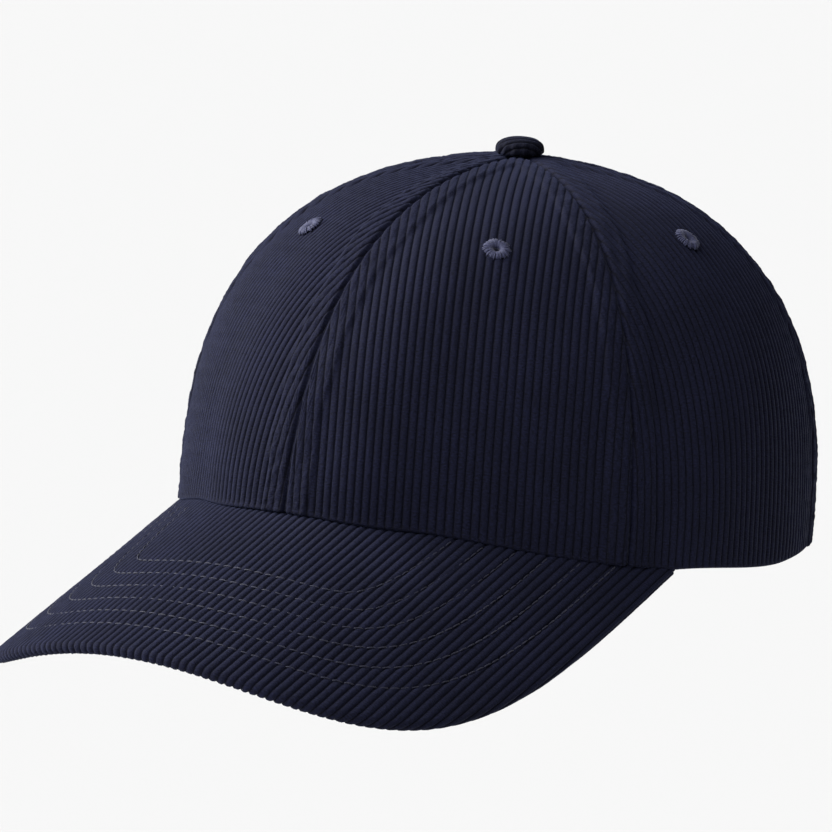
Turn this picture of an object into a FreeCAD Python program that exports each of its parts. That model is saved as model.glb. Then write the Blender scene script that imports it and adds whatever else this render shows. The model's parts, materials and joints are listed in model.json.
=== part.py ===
import FreeCAD, Part
import math
import os
from FreeCAD import Vector

# Frame: origin at the centre of the head opening's rim plane, +Z up, brim towards -Y, +X the wearer's left.
# Angles about Z are measured from the front (-Y) towards +X, so 90 degrees is the left side, 180 the back.

# Crown: a six-panel dome over a rounded plan
HALF_WIDTH = 91.5
FRONT_REACH = 114.6
BACK_REACH = 88.0
CROWN_HEIGHT = 107.5
FRONT_PLAN_POWER = 1.69
BACK_PLAN_POWER = 2.0
NOSE_ROUND_TO = 24.0
SIDE_ROUND_FROM = (58.0, 88.0)
OUTWARD_POWER = (2.125, 0.294, -0.021)
UPWARD_POWER = (2.796, 0.117, -0.208)
APEX_SHIFT = 5.7
APEX_SHIFT_POWER = 0.61
FRONT_SEAM = 0.0
SIDE_FRONT_SEAM = 54.4
SIDE_BACK_SEAM = 114.6
BACK_SEAM = 180.0
APEX_HOLE = 1.7
APEX_FLAT = 0.8
SEAM_GAP = 0.2
GORE_LEAN = 0.9
DOME_INSIDE = Vector(0, 0, 35)

# Layers of the crown, as depths below its outer face
PANEL = (0.0, 1.5)
BUCKRAM = (1.65, 2.35)
ALLOWANCE = (1.8, 2.6)
FACING = (1.6, 1.9)
TAPE = (2.75, 3.2)
INTERLINING = (4.55, 5.1)
SWEATBAND = (5.2, 5.95)
SWEATBAND_HEIGHT = 32.0
SWEATBAND_LIFT = 0.6
BAND_END = 179.0
TAPE_WIDTH = 14.0
TAPE_FOOT = 4.0
SIDE_TAPE_HEAD = 15.5
ALLOWANCE_RISE = 8.0
ALLOWANCE_TUCK = 2.0
BUCKRAM_MARGINS = (0.6, 4.0)
BUCKRAM_HEAD = 9.0
CARE_LABEL = (6.0, 6.4)
CARE_LABEL_START = (150.0, 30.0)
CARE_LABEL_SIZE = (9.0, 16.0)

# Brim: a flat board bent into an arch across its width, sloping down to the front
BRIM_LENGTH = 72.2
BRIM_HALF_WIDTH = 87.1
BRIM_SLOPE = math.tan(math.radians(18.6))
BRIM_ARCH = 0.0060
BRIM_ROOT_HEIGHT = 19.3
BRIM_END = 64.5
BRIM_FADE = 30.0
BRIM_END_HEIGHT = 2.0
BRIM_TOP_COVER = (0.0, 1.2)
BRIM_BOARD = (1.3, 3.1)
BRIM_UNDER_COVER = (3.2, 4.2)
BRIM_INSET = 1.7
BRIM_WALL_MARGIN = 0.04
BRIM_BOARD_MARGIN = 0.035
BRIM_SIDE_POWER = 0.95
BRIM_FRONT_POWER = 1.18
BRIM_END_POWER = 1.17
BRIM_GAP = 0.2

# Embroidered eyelets
EYELET_RISE = 0.558
EYELET_OUTER = 3.7
EYELET_HOLE = 0.95
EYELET_SLEEVE = 2.1
EYELET_CLEARANCE = 0.15
EYELET_LIFT = 0.55
EYELET_RIM = 0.05

# Covered button
BUTTON_RADIUS = 6.9
BUTTON_HEIGHT = 5.6
BUTTON_CLOTH = 1.1
BUTTON_METAL = 0.5
SHANK_RADIUS = 1.3
WASHER_RADIUS = 6.0
BUTTON_FOOT = 1.5
DOME_POWERS = (0.8, 0.7)

# Back opening and closure
ARCH_HALF_WIDTH = 34.0
ARCH_STRAIGHT = 12.0
ARCH_HEIGHT = 38.0
FACING_WIDTH = 8.0
FACING_SPAN = (150.0, 210.0)
WALL_RADIUS = 93.6
WALL_CENTRE_Y = BACK_REACH - WALL_RADIUS
STRAP_SHIFT_X = 6.8
STRAP_FLATTER = 11.5
STRAP_INSET = 0.45
STRAP_THICK = 1.2
STRAP_Z = (3.0, 21.0)
STRAP_ROOT = 35.0
STRAP_TIP = -27.0
BUCKLE_SPAN = (-8.5, 3.0)
BUCKLE_CHEEK = 1.2
BUCKLE_SIDE_GAP = 0.6
BUCKLE_BASE = (3.4, 2.2)
END_BAR = 3.2
LOOP_SLOT = (2.0, 0.3)
FRAME_WINDOW = (4.2, 1.6, 4.5)
GRIP_RIB = (0.9, 2.1)
CHEEK_RISE = 1.2
CHEEK_SHORT = 4.5
EAR_RADIUS = 2.3
LEVER_PLATE = (2.2, 3.4)
LEVER_GRIP = (3.0, 4.3)
LEVER_ENDS = (1.8, 0.5)
LEVER_GRIP_SPAN = 1.4
LEVER_SIDE_GAP = 0.35
LOOP_CLOTH = 0.85
LOOP_GAP = 0.12
LOOP_SPAN = (4.2, 1.2)
LOOP_TAIL = ((22.5, 2.3), (33.0, 2.4), (33.0, 3.95), (22.5, 3.95))
PIN_RADIUS = 0.75
PIN_OUT = 2.8
BARREL_RADIUS = 1.7


# ---------- crown surface ----------

def smooth(value, start, end):
    """0 before start, 1 after end, smooth between."""
    u = min(max((value - start) / (end - start), 0.0), 1.0)
    return u * u * (3 - 2 * u)


def plan_radius(angle):
    """Radius of the crown's plan at the rim."""
    reach = FRONT_REACH if math.cos(angle) > 0 else BACK_REACH
    degrees = abs(math.degrees(angle))
    round_share = 1 - smooth(degrees, 0, NOSE_ROUND_TO) + smooth(degrees, *SIDE_ROUND_FROM)
    power = FRONT_PLAN_POWER + (BACK_PLAN_POWER - FRONT_PLAN_POWER) * round_share
    across = abs(math.sin(angle) / HALF_WIDTH) ** power
    along = abs(math.cos(angle) / reach) ** power
    return (across + along) ** (-1 / power)


def wave_sum(parts, angle):
    """A constant and its first two waves round the dome."""
    return parts[0] + parts[1] * math.cos(angle) + parts[2] * math.cos(2 * angle)


def profile_powers(angle):
    """How full the dome's profile is outwards and upwards, front to back."""
    return wave_sum(OUTWARD_POWER, angle), wave_sum(UPWARD_POWER, angle)


def section_radius(angle, height):
    """Radius of the dome's outer face at a height, about the section's own centre."""
    outward, upward = profile_powers(angle)
    share = min(abs(height) / CROWN_HEIGHT, 1.0)
    lift = math.asin(share ** (upward / 2))
    return plan_radius(angle) * math.cos(lift) ** (2 / outward)


def section_shift(height):
    """How far a section's centre lies behind the rim's centre."""
    return APEX_SHIFT * (max(height, 0.0) / CROWN_HEIGHT) ** APEX_SHIFT_POWER


def outside_by(point):
    """Above zero outside the dome, below zero inside."""
    y = point.y - section_shift(point.z)
    angle = math.atan2(point.x, -y)
    return math.hypot(point.x, y) - section_radius(angle, point.z)


def surface_point(angle, height):
    """Point of the dome's outer face at an angle in radians and a height."""
    radius = section_radius(angle, height)
    return Vector(radius * math.sin(angle), section_shift(height) - radius * math.cos(angle), height)


def outward_normal(point):
    """Unit normal of the dome at a point of its outer face."""
    if math.hypot(point.x, point.y - APEX_SHIFT) < APEX_FLAT:
        return Vector(0, 0, 1)
    step = 0.02
    slopes = []
    for axis in (Vector(step, 0, 0), Vector(0, step, 0), Vector(0, 0, step)):
        high = point + axis
        high.z = min(high.z, CROWN_HEIGHT)
        low = point - axis
        slopes.append((outside_by(high) - outside_by(low)) / max((high - low).Length, 1e-9))
    normal = Vector(*slopes)
    return normal.normalize()


def below_surface(angle, height, depth):
    """Point at a depth under the outer face, measured along its normal."""
    point = surface_point(angle, height)
    return point - outward_normal(point) * depth


def height_at_radius(angle, radius):
    """Height where the dome's section has the given radius."""
    low, high = 0.0, CROWN_HEIGHT
    for _ in range(60):
        middle = (low + high) / 2
        if section_radius(angle, middle) > radius:
            low = middle
        else:
            high = middle
    return low


# ---------- brim surface ----------

def brim_top(x, y):
    """Height of the brim's top face above a plan point."""
    return BRIM_ROOT_HEIGHT - BRIM_ARCH * x * x + BRIM_SLOPE * (y + FRONT_REACH)


def rim_height(angle, depth):
    """Height of the crown's lower edge: on the brim in front, level at the sides and back."""
    held = math.copysign(min(abs(angle), math.radians(BRIM_END)), angle)
    low = 0.0
    for _ in range(4):
        point = below_surface(held, low, depth)
        low = brim_top(point.x, point.y)
    fall = smooth(abs(math.degrees(angle)), BRIM_END, BRIM_END + BRIM_FADE)
    return (low + BRIM_GAP) * (1 - fall)


def brim_outline(turn, inset):
    """Plan point of the brim's outer edge, turn from -1 at its right end to 1 at its left end."""
    end = surface_point(math.radians(BRIM_END), BRIM_END_HEIGHT)
    angle = turn * math.pi / 2
    side, front = math.sin(angle), math.cos(angle)
    reach = FRONT_REACH + BRIM_LENGTH - inset + end.y
    x = abs(side) ** BRIM_SIDE_POWER * (BRIM_HALF_WIDTH - inset)
    pull = abs(side) ** BRIM_END_POWER
    x = x * (1 - pull) + (end.x - inset) * pull
    return math.copysign(x, turn), end.y - reach * max(front, 0.0) ** BRIM_FRONT_POWER


def brim_point(u, v, depth, inset):
    """Point of the brim: u from right end to left end, v from the crown to the outer edge."""
    turn = 2 * u - 1
    angle = math.radians(BRIM_END) * turn
    root = below_surface(angle, max(rim_height(angle, 0), 0.0), PANEL[1] - inset * 0.4)
    outer = brim_outline(turn, inset)
    x = root.x + (outer[0] - root.x) * v
    y = root.y + (outer[1] - root.y) * v
    steep = Vector(2 * BRIM_ARCH * x, -BRIM_SLOPE, 1)
    square = steep * (depth / steep.Length)
    upright = Vector(0, 0, depth * steep.Length)
    return Vector(x, y, brim_top(x, y)) - upright * (1 - v) - square * v


# ---------- solids from grids ----------

def spline_face(rows):
    surface = Part.BSplineSurface()
    surface.interpolate(rows)
    return surface


def skin_solid(place, depths, columns, rows):
    """Closed solid between two depths of a surface, place(u, v, depth) with u and v from 0 to 1."""
    skins = []
    for depth in depths:
        grid = [[place(i / columns, j / rows, depth) for j in range(rows + 1)] for i in range(columns + 1)]
        skins.append(spline_face(grid))
    faces = [skin.toShape() for skin in skins]
    u0, u1, v0, v1 = skins[0].bounds()
    a0, a1, b0, b1 = skins[1].bounds()
    pairs = [(skins[0].uIso(u0), skins[1].uIso(a0)), (skins[0].uIso(u1), skins[1].uIso(a1)),
             (skins[0].vIso(v0), skins[1].vIso(b0)), (skins[0].vIso(v1), skins[1].vIso(b1))]
    for first, second in pairs:
        faces.append(Part.makeRuledSurface(first.toShape(), second.toShape()))
    shell = Part.makeShell(faces)
    shell.sewShape(0.001)
    return closed_solid(shell)


def closed_solid(shell):
    solid = Part.makeSolid(shell)
    if solid.Volume < 0:
        solid.reverse()
    return solid


def turned(points, base, normal=Vector(0, 0, 1)):
    """Solid of revolution of a closed (radius, height) outline about an axis."""
    wire = Part.makePolygon([Vector(r, 0, z) for r, z in points + points[:1]])
    solid = Part.Face(wire).revolve(Vector(0, 0, 0), Vector(0, 0, 1), 360)
    solid.Placement = FreeCAD.Placement(base, FreeCAD.Rotation(Vector(0, 0, 1), normal))
    return closed_solid(solid.Shells[0])


def disc(radius, low, high, base, normal):
    return Part.makeCylinder(radius, high - low, base + normal * low, normal)


# ---------- crown pieces ----------

def edge_angle(seam, side, height):
    """Angle of a panel edge, half the seam gap away from the seam line."""
    return seam + side * SEAM_GAP / 2 / max(section_radius(seam, height), APEX_HOLE)


def gore(first, last, depths, foot=None, head=None, columns=10, rows=14):
    """One dome segment between two seams, from foot height to the hole under the button."""
    first, last = math.radians(first), math.radians(last)

    def place(u, v, depth):
        middle = first + (last - first) * u
        low = foot(middle, depth) if foot else rim_height(middle, depth)
        high = head(middle) if head else height_at_radius(middle, APEX_HOLE)
        lean = math.sin(v * math.pi / 2) ** GORE_LEAN
        height = low + (high - low) * lean
        left = edge_angle(first, 1, height)
        right = edge_angle(last, -1, height)
        return below_surface(left + (right - left) * u, height, depth)

    return skin_solid(place, depths, columns, rows)


def arch_prism(half_width, height, straight):
    """Upright half-moon outline of the back opening, driven through the back wall."""
    low, near, through = -30.0, 40.0, 90.0
    right, left = Vector(half_width, near, low), Vector(-half_width, near, low)
    right_spring, left_spring = Vector(half_width, near, straight), Vector(-half_width, near, straight)
    curve = Part.BSplineCurve()
    steps = 8
    points = []
    for i in range(steps + 1):
        turn = math.pi * i / steps
        rise = straight + (height - straight) * math.sin(turn)
        points.append(Vector(half_width * math.cos(turn), near, rise))
    curve.interpolate(Points=points, InitialTangent=Vector(0, 0, 1), FinalTangent=Vector(0, 0, -1))
    edges = [Part.makeLine(right, right_spring), curve.toShape(),
             Part.makeLine(left_spring, left), Part.makeLine(left, right)]
    return Part.Face(Part.Wire(edges)).extrude(Vector(0, through, 0))


def back_opening(grow=0.0):
    return arch_prism(ARCH_HALF_WIDTH + grow, ARCH_HEIGHT + grow, ARCH_STRAIGHT)


def eyelet_places():
    """Name, angle, and the layers that each eyelet is worked through."""
    front = (FRONT_SEAM + SIDE_FRONT_SEAM) / 2
    side = (SIDE_FRONT_SEAM + SIDE_BACK_SEAM) / 2
    back = (SIDE_BACK_SEAM + BACK_SEAM) / 2
    return [("front", front, BUCKRAM[1]), ("side", side, PANEL[1]), ("back", back, PANEL[1])]


def eyelet_base(angle, side):
    """Centre and outward normal of an eyelet on the outer face."""
    angle = math.radians(angle)
    outward, upward = profile_powers(angle)
    low = rim_height(angle, 0)
    start = math.asin(min(abs(low) / CROWN_HEIGHT, 1) ** (upward / 2))
    lift = start + (math.pi / 2 - start) * EYELET_RISE
    height = CROWN_HEIGHT * math.sin(lift) ** (2 / upward)
    point = surface_point(side * angle, height)
    return point, outward_normal(point)


def eyelet_bore(angle, side):
    """Hole through the cloth, a little wider than the eyelet's sleeve."""
    base, normal = eyelet_base(angle, side)
    return disc(EYELET_SLEEVE + EYELET_CLEARANCE, -6, 3, base, normal)


def eyelet(angle, side, inner_depth):
    """Thread ring worked round the hole: a sleeve with a flange on each face of the cloth."""
    base, normal = eyelet_base(angle, side)
    gap = EYELET_CLEARANCE
    outer = [(EYELET_HOLE, EYELET_LIFT), (EYELET_OUTER, gap + EYELET_RIM), (EYELET_OUTER, gap),
             (EYELET_SLEEVE, gap)]
    inner = [(radius, -inner_depth - height) for radius, height in reversed(outer)]
    outline = outer + inner
    return turned(outline, base, normal)


def panels():
    """The six corduroy gores, pierced for their eyelets, the back pair cut for the opening."""
    made = {}
    spans = {"front": (FRONT_SEAM, SIDE_FRONT_SEAM), "side": (SIDE_FRONT_SEAM, SIDE_BACK_SEAM),
             "back": (SIDE_BACK_SEAM, BACK_SEAM)}
    for name, angle, _ in eyelet_places():
        start, end = spans[name]
        for word, side in (("left", 1), ("right", -1)):
            low, high = sorted((side * start, side * end))
            solid = gore(low, high, PANEL)
            solid = solid.cut(eyelet_bore(angle, side))
            if name == "back":
                solid = solid.cut(back_opening())
            made[f"panel_{name}_{word}"] = solid
    return made


def eyelets():
    made = {}
    for name, angle, depth in eyelet_places():
        for word, side in (("left", 1), ("right", -1)):
            made[f"eyelet_{name}_{word}"] = eyelet(angle, side, depth)
    return made


def front_buckram():
    """Stiff buckram behind each front panel, from the visor's seam allowance to near the button."""
    made = {}
    angle = eyelet_places()[0][1]
    for word, side in (("left", 1), ("right", -1)):
        edges = (FRONT_SEAM + BUCKRAM_MARGINS[0], SIDE_FRONT_SEAM - BUCKRAM_MARGINS[1])
        low, high = sorted(side * edge for edge in edges)
        solid = gore(low, high, BUCKRAM, foot=lambda a, d: rim_height(a, 0) + ALLOWANCE_RISE + 1,
                     head=lambda a: height_at_radius(a, BUCKRAM_HEAD))
        made[f"front_buckram_{word}"] = solid.cut(eyelet_bore(angle, side))
    return made


def side_tape(seam):
    """Tape over a side seam, from behind the sweatband to the edge of the centre tape."""
    seam = math.radians(seam)

    def place(u, v, depth):
        low = rim_height(seam, 0) + TAPE_FOOT
        high = height_at_radius(seam, SIDE_TAPE_HEAD)
        height = low + (high - low) * math.sin(v * math.pi / 2)
        lateral = (u - 0.5) * TAPE_WIDTH
        angle = seam + lateral / section_radius(seam, height)
        return below_surface(angle, height, depth)

    return skin_solid(place, TAPE, 4, 16)


def project_outwards(point):
    """Where the ray from inside the dome through a point meets its outer face."""
    ray = (point - DOME_INSIDE).normalize()
    low, high = 20.0, 160.0
    for _ in range(60):
        middle = (low + high) / 2
        trial = DOME_INSIDE + ray * middle
        if trial.z < CROWN_HEIGHT and outside_by(trial) < 0:
            low = middle
        else:
            high = middle
    return DOME_INSIDE + ray * low


def centre_tape():
    """One tape over the front and back centre seams, passing under the button."""
    front_low = rim_height(0, 0) + TAPE_FOOT
    back_low = ARCH_HEIGHT + 1.5
    start = math.atan2(-surface_point(0, front_low).y, front_low - DOME_INSIDE.z)
    end = math.atan2(-surface_point(math.pi, back_low).y, back_low - DOME_INSIDE.z)

    def place(u, v, depth):
        turn = start + (end - start) * v
        spine = project_outwards(DOME_INSIDE + Vector(0, -math.sin(turn), math.cos(turn)))
        point = project_outwards(spine + Vector((u - 0.5) * TAPE_WIDTH, 0, 0))
        return point - outward_normal(point) * depth

    solid = skin_solid(place, TAPE, 4, 36)
    return solid.cut(disc(SHANK_RADIUS + 0.3, -12, 5, apex(), Vector(0, 0, 1)))


def band(depths, foot_lift, height):
    """A strip round the inside of the rim."""
    def place(u, v, depth):
        angle = math.radians(BAND_END) * (2 * u - 1)
        low = rim_height(angle, 0) + foot_lift
        return below_surface(angle, low + height * v, depth)

    return skin_solid(place, depths, 64, 5)


def sweatband():
    """Sweatband and the softer strip behind it, both open at the back."""
    inner = band(INTERLINING, SWEATBAND_LIFT + 0.2, SWEATBAND_HEIGHT - 1)
    return {"sweatband": band(SWEATBAND, SWEATBAND_LIFT, SWEATBAND_HEIGHT).cut(back_opening()),
            "sweatband_interlining": inner.cut(back_opening(1.0))}


def back_facing():
    """Narrow facing that binds the half-moon edge on the inside."""
    first, last = FACING_SPAN
    low, high = 0.8, 50.8

    def place(u, v, depth):
        return below_surface(math.radians(first + (last - first) * u), low + (high - low) * v, depth)

    strip = skin_solid(place, FACING, 12, 8)
    return strip.cut(back_opening(0.2)).common(back_opening(FACING_WIDTH))


# ---------- brim pieces ----------

def brim_slab(depths, inset=0.0, margin=0.0):
    """Layer of the brim; the margin is the share of its length left off at each end."""
    along = 1 - 2 * margin
    return skin_solid(lambda u, v, depth: brim_point(margin + along * u, v, depth, inset), depths, 40, 10)


def visor_pieces():
    """Board between two corduroy covers, the top one turned down round the edge."""
    return {"visor_top_cover": brim_slab(BRIM_TOP_COVER).fuse(visor_edge_wall()),
            "visor_board": brim_slab(BRIM_BOARD, BRIM_INSET + 0.1, BRIM_BOARD_MARGIN),
            "visor_under_cover": brim_slab(BRIM_UNDER_COVER)}


def visor_edge_wall():
    """The part of the top cover that turns down over the board's edge."""
    top = BRIM_TOP_COVER[1] / 2
    along = 1 - 2 * BRIM_WALL_MARGIN

    def place(u, v, inset):
        depth = top + (BRIM_BOARD[1] - top) * v
        return brim_point(BRIM_WALL_MARGIN + along * u, 1, depth, inset)

    return skin_solid(place, (0.05, BRIM_INSET - 0.1), 40, 3)


def visor_seam_allowance():
    """Edges of the visor covers, turned up inside the front panels and sewn there."""
    def place(u, v, depth):
        angle = math.radians(BRIM_END - 1) * (2 * u - 1)
        low = rim_height(angle, 0) - ALLOWANCE_TUCK
        return below_surface(angle, low + (ALLOWANCE_RISE + ALLOWANCE_TUCK) * v, depth)

    return skin_solid(place, ALLOWANCE, 30, 3)


# ---------- button ----------

def apex():
    return Vector(0, APEX_SHIFT, CROWN_HEIGHT)


def dome_outline(radius, height, thick, foot, lip):
    """Closed outline of a domed cap with a wall that turns in at its foot."""
    steps = 12
    outer, inner = [(0.0, height)], [(0.0, height - thick)]
    for i in range(1, steps + 1):
        turn = math.pi / 2 * i / steps
        across = math.sin(turn) ** DOME_POWERS[0]
        up = math.cos(turn) ** DOME_POWERS[1]
        outer.append((radius * across, foot + (height - foot) * up))
        inner.append(((radius - thick) * across, foot + (height - thick - foot) * up))
    hem = [(radius, foot - thick), (lip, foot - thick), (lip, foot - thick * 0.35)]
    hem.append((radius - thick, foot - thick * 0.35))
    return outer + hem + inner[::-1]


def button_pieces():
    """Cloth over a metal shell, a rivet down through the crown, and a washer inside."""
    base = apex()
    foot = BUTTON_FOOT
    cloth = dome_outline(BUTTON_RADIUS, BUTTON_HEIGHT, BUTTON_CLOTH, foot, BUTTON_RADIUS - 2.6)
    metal_radius = BUTTON_RADIUS - BUTTON_CLOTH - 0.1
    metal_top = BUTTON_HEIGHT - BUTTON_CLOTH - 0.1
    metal = dome_outline(metal_radius, metal_top, BUTTON_METAL, foot + 0.35, metal_radius - 1.2)
    tail = TAPE[1] + 1.6
    rivet = [(0, 2.5), (4.6, 2.5), (4.6, 1.8), (SHANK_RADIUS, 1.8), (SHANK_RADIUS, -tail),
             (SHANK_RADIUS + 1.1, -tail), (SHANK_RADIUS + 0.7, -tail - 0.8), (0, -tail - 0.9)]
    under = TAPE[1] + 0.6
    washer = [(SHANK_RADIUS + 0.03, -under), (WASHER_RADIUS, -under), (WASHER_RADIUS, -under - 0.5),
              (WASHER_RADIUS - 0.6, -under - 0.9), (SHANK_RADIUS + 0.03, -under - 0.9)]
    return {"button_cover": turned(cloth, base), "button_shell": turned(metal, base),
            "button_rivet": turned(rivet, base), "button_washer": turned(washer, base)}


# ---------- closure ----------

def strap_axis():
    """Upright axis about which the closure strap's arc is struck."""
    return Vector(-STRAP_SHIFT_X, WALL_CENTRE_Y - STRAP_FLATTER, 0)


def strap_radius():
    return WALL_RADIUS - STRAP_INSET + STRAP_FLATTER


def arc_point(radius, angle):
    """Plan point on the strap's arc; the angle runs from the back towards +X."""
    turn = math.radians(angle)
    return strap_axis() + Vector(radius * math.sin(turn), radius * math.cos(turn), 0)


def arc_block(inner, outer, first, last, low, high):
    """Curved block between two radii and two angles of the strap's arc."""
    middle = (first + last) / 2
    wire = [Part.Arc(arc_point(outer, first), arc_point(outer, middle), arc_point(outer, last)).toShape(),
            Part.makeLine(arc_point(outer, last), arc_point(inner, last)),
            Part.Arc(arc_point(inner, last), arc_point(inner, middle), arc_point(inner, first)).toShape(),
            Part.makeLine(arc_point(inner, first), arc_point(outer, first))]
    face = Part.Face(Part.Wire(wire))
    face.translate(Vector(0, 0, low))
    return face.extrude(Vector(0, 0, high - low))


def closure_strap():
    """Self-cloth strap with a tongue-shaped tip."""
    radius = strap_radius()
    half = STRAP_THICK / 2
    strap = arc_block(radius - half, radius + half, STRAP_TIP, STRAP_ROOT, *STRAP_Z)
    middle = (STRAP_Z[0] + STRAP_Z[1]) / 2
    width = STRAP_Z[1] - STRAP_Z[0]
    reach = math.degrees(width / 2 / radius)
    tip_zone = arc_block(radius - 4, radius + 4, STRAP_TIP - 1, STRAP_TIP + reach, 0, 30)
    heading = (arc_point(radius, STRAP_TIP + reach) - strap_axis()).normalize()
    centre = arc_point(radius, STRAP_TIP + reach) + Vector(0, 0, middle)
    round_tip = Part.makeCylinder(width / 2, 16, centre - heading * 10, heading)
    return strap.cut(tip_zone.cut(round_tip))


def pin_centre():
    return arc_point(strap_radius() + PIN_OUT, BUCKLE_SPAN[0] + 1.6)


def buckle_frame():
    """Metal channel: a base behind the strap, an end bar for the loop, two cheeks with ears for the pin."""
    radius = strap_radius()
    first, last = BUCKLE_SPAN
    low = STRAP_Z[0] - BUCKLE_SIDE_GAP - BUCKLE_CHEEK
    high = STRAP_Z[1] + BUCKLE_SIDE_GAP + BUCKLE_CHEEK
    base = arc_block(radius - BUCKLE_BASE[0], radius - BUCKLE_BASE[1], first - END_BAR, last, low, high)
    slot = arc_block(radius - 5, radius, first - LOOP_SLOT[0], first - LOOP_SLOT[1], low + 2, high - 2)
    margin = FRAME_WINDOW[2]
    window = arc_block(radius - 5, radius, first + FRAME_WINDOW[0], last - FRAME_WINDOW[1],
                       low + margin, high - margin)
    frame = base.cut(slot).cut(window)
    rib = arc_block(radius - BUCKLE_BASE[1] - 0.1, radius - STRAP_THICK / 2 - LEVER_SIDE_GAP,
                    first + GRIP_RIB[0], first + GRIP_RIB[1], low + 1, high - 1)
    frame = frame.fuse(rib)
    for start in (low, high - BUCKLE_CHEEK):
        cheek = arc_block(radius - BUCKLE_BASE[0], radius + CHEEK_RISE, first, last - CHEEK_SHORT,
                          start, start + BUCKLE_CHEEK)
        ear = Part.makeCylinder(EAR_RADIUS, BUCKLE_CHEEK, pin_centre() + Vector(0, 0, start))
        frame = frame.fuse(cheek).fuse(ear)
    bore = Part.makeCylinder(PIN_RADIUS + 0.02, 40, pin_centre() - Vector(0, 0, 5))
    return frame.cut(bore).removeSplitter()


def buckle_lever():
    """Flip lever: a barrel on the pin and a curved plate that lies over the strap when shut."""
    radius = strap_radius()
    first, last = BUCKLE_SPAN
    low = STRAP_Z[0] - BUCKLE_SIDE_GAP + LEVER_SIDE_GAP
    high = STRAP_Z[1] + BUCKLE_SIDE_GAP - LEVER_SIDE_GAP
    barrel = Part.makeCylinder(BARREL_RADIUS, high - low, pin_centre() + Vector(0, 0, low))
    start, end = first + LEVER_ENDS[0], last - LEVER_ENDS[1]
    plate = arc_block(radius + LEVER_PLATE[0], radius + LEVER_PLATE[1], start, end, low, high)
    grip = arc_block(radius + LEVER_GRIP[0], radius + LEVER_GRIP[1], last - LEVER_GRIP_SPAN, end, low, high)
    lever = barrel.fuse(plate).fuse(grip)
    bore = Part.makeCylinder(PIN_RADIUS + 0.06, 40, pin_centre() - Vector(0, 0, 5))
    return lever.cut(bore).removeSplitter()


def buckle_pin():
    """Riveted pin through both cheeks and the lever's barrel."""
    low = STRAP_Z[0] - BUCKLE_SIDE_GAP - BUCKLE_CHEEK
    high = STRAP_Z[1] + BUCKLE_SIDE_GAP + BUCKLE_CHEEK
    head, gap = 0.5, 0.05
    outline = [(0, low - head), (1.2, low - head * 0.6), (1.3, low - gap), (PIN_RADIUS, low - gap),
               (PIN_RADIUS, high + gap), (1.3, high + gap), (1.2, high + head * 0.6), (0, high + head)]
    return turned(outline, pin_centre())


def buckle_loop():
    """Folded cloth tab that holds the buckle's end bar, its tail between the panel and the sweatband."""
    radius = strap_radius()
    first = BUCKLE_SPAN[0]
    inner = radius - BUCKLE_BASE[0] - LOOP_GAP
    outer = radius - BUCKLE_BASE[1] + LOOP_GAP
    low, high = STRAP_Z[0] + 0.4, STRAP_Z[1] - 0.4
    loop = arc_block(inner - LOOP_CLOTH, outer + LOOP_CLOTH, first - LOOP_SPAN[0], first - LOOP_SPAN[1],
                     low, high)
    around = arc_block(inner, outer, first - END_BAR - 0.1, first - LOOP_SLOT[0] + 0.1, low - 1, high + 1)
    loop = loop.cut(around)
    root = first - LOOP_SPAN[0] + 0.05
    start_in, start_out = arc_point(inner - LOOP_CLOTH, root), arc_point(outer + LOOP_CLOTH, root)
    back = [below_surface(math.radians(180 + turn), 10, depth) for turn, depth in LOOP_TAIL]
    outline = [start_out] + [Vector(p.x, p.y, 0) for p in back] + [start_in]
    face = Part.Face(Part.makePolygon(outline + outline[:1]))
    face.translate(Vector(0, 0, low))
    tail = face.extrude(Vector(0, 0, high - low))
    return loop.fuse(tail).removeSplitter()


def care_label():
    """Blank woven label, folded and caught under the sweatband at the back left."""
    def place(u, v, depth):
        angle = math.radians(CARE_LABEL_START[0] + CARE_LABEL_SIZE[0] * u)
        return below_surface(angle, CARE_LABEL_START[1] + CARE_LABEL_SIZE[1] * v, depth)

    return skin_solid(place, CARE_LABEL, 4, 4)


def all_pieces():
    made = {}
    made.update(panels())
    made.update(eyelets())
    made.update(front_buckram())
    made.update(sweatband())
    made.update(visor_pieces())
    made.update(button_pieces())
    made["seam_tape_centre"] = centre_tape()
    for word, side in (("left", 1), ("right", -1)):
        made[f"seam_tape_front_{word}"] = side_tape(side * SIDE_FRONT_SEAM)
        made[f"seam_tape_back_{word}"] = side_tape(side * SIDE_BACK_SEAM)
    made["visor_seam_allowance"] = visor_seam_allowance()
    made["back_facing"] = back_facing()
    made["closure_strap"] = closure_strap()
    made["buckle_frame"] = buckle_frame()
    made["buckle_lever"] = buckle_lever()
    made["buckle_pin"] = buckle_pin()
    made["buckle_loop"] = buckle_loop()
    made["care_label"] = care_label()
    return made


def main():
    os.makedirs("parts", exist_ok=True)
    for name, shape in all_pieces().items():
        shape.exportStep(f"parts/{name}.step")
        print(f"{name}: volume {shape.Volume:.1f} mm3, solids {len(shape.Solids)}, valid {shape.isValid()}")


main()
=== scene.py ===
"""Looks of the corduroy baseball cap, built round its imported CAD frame. Metres, +Z up, brim towards -Y."""
import json
import math

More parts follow.
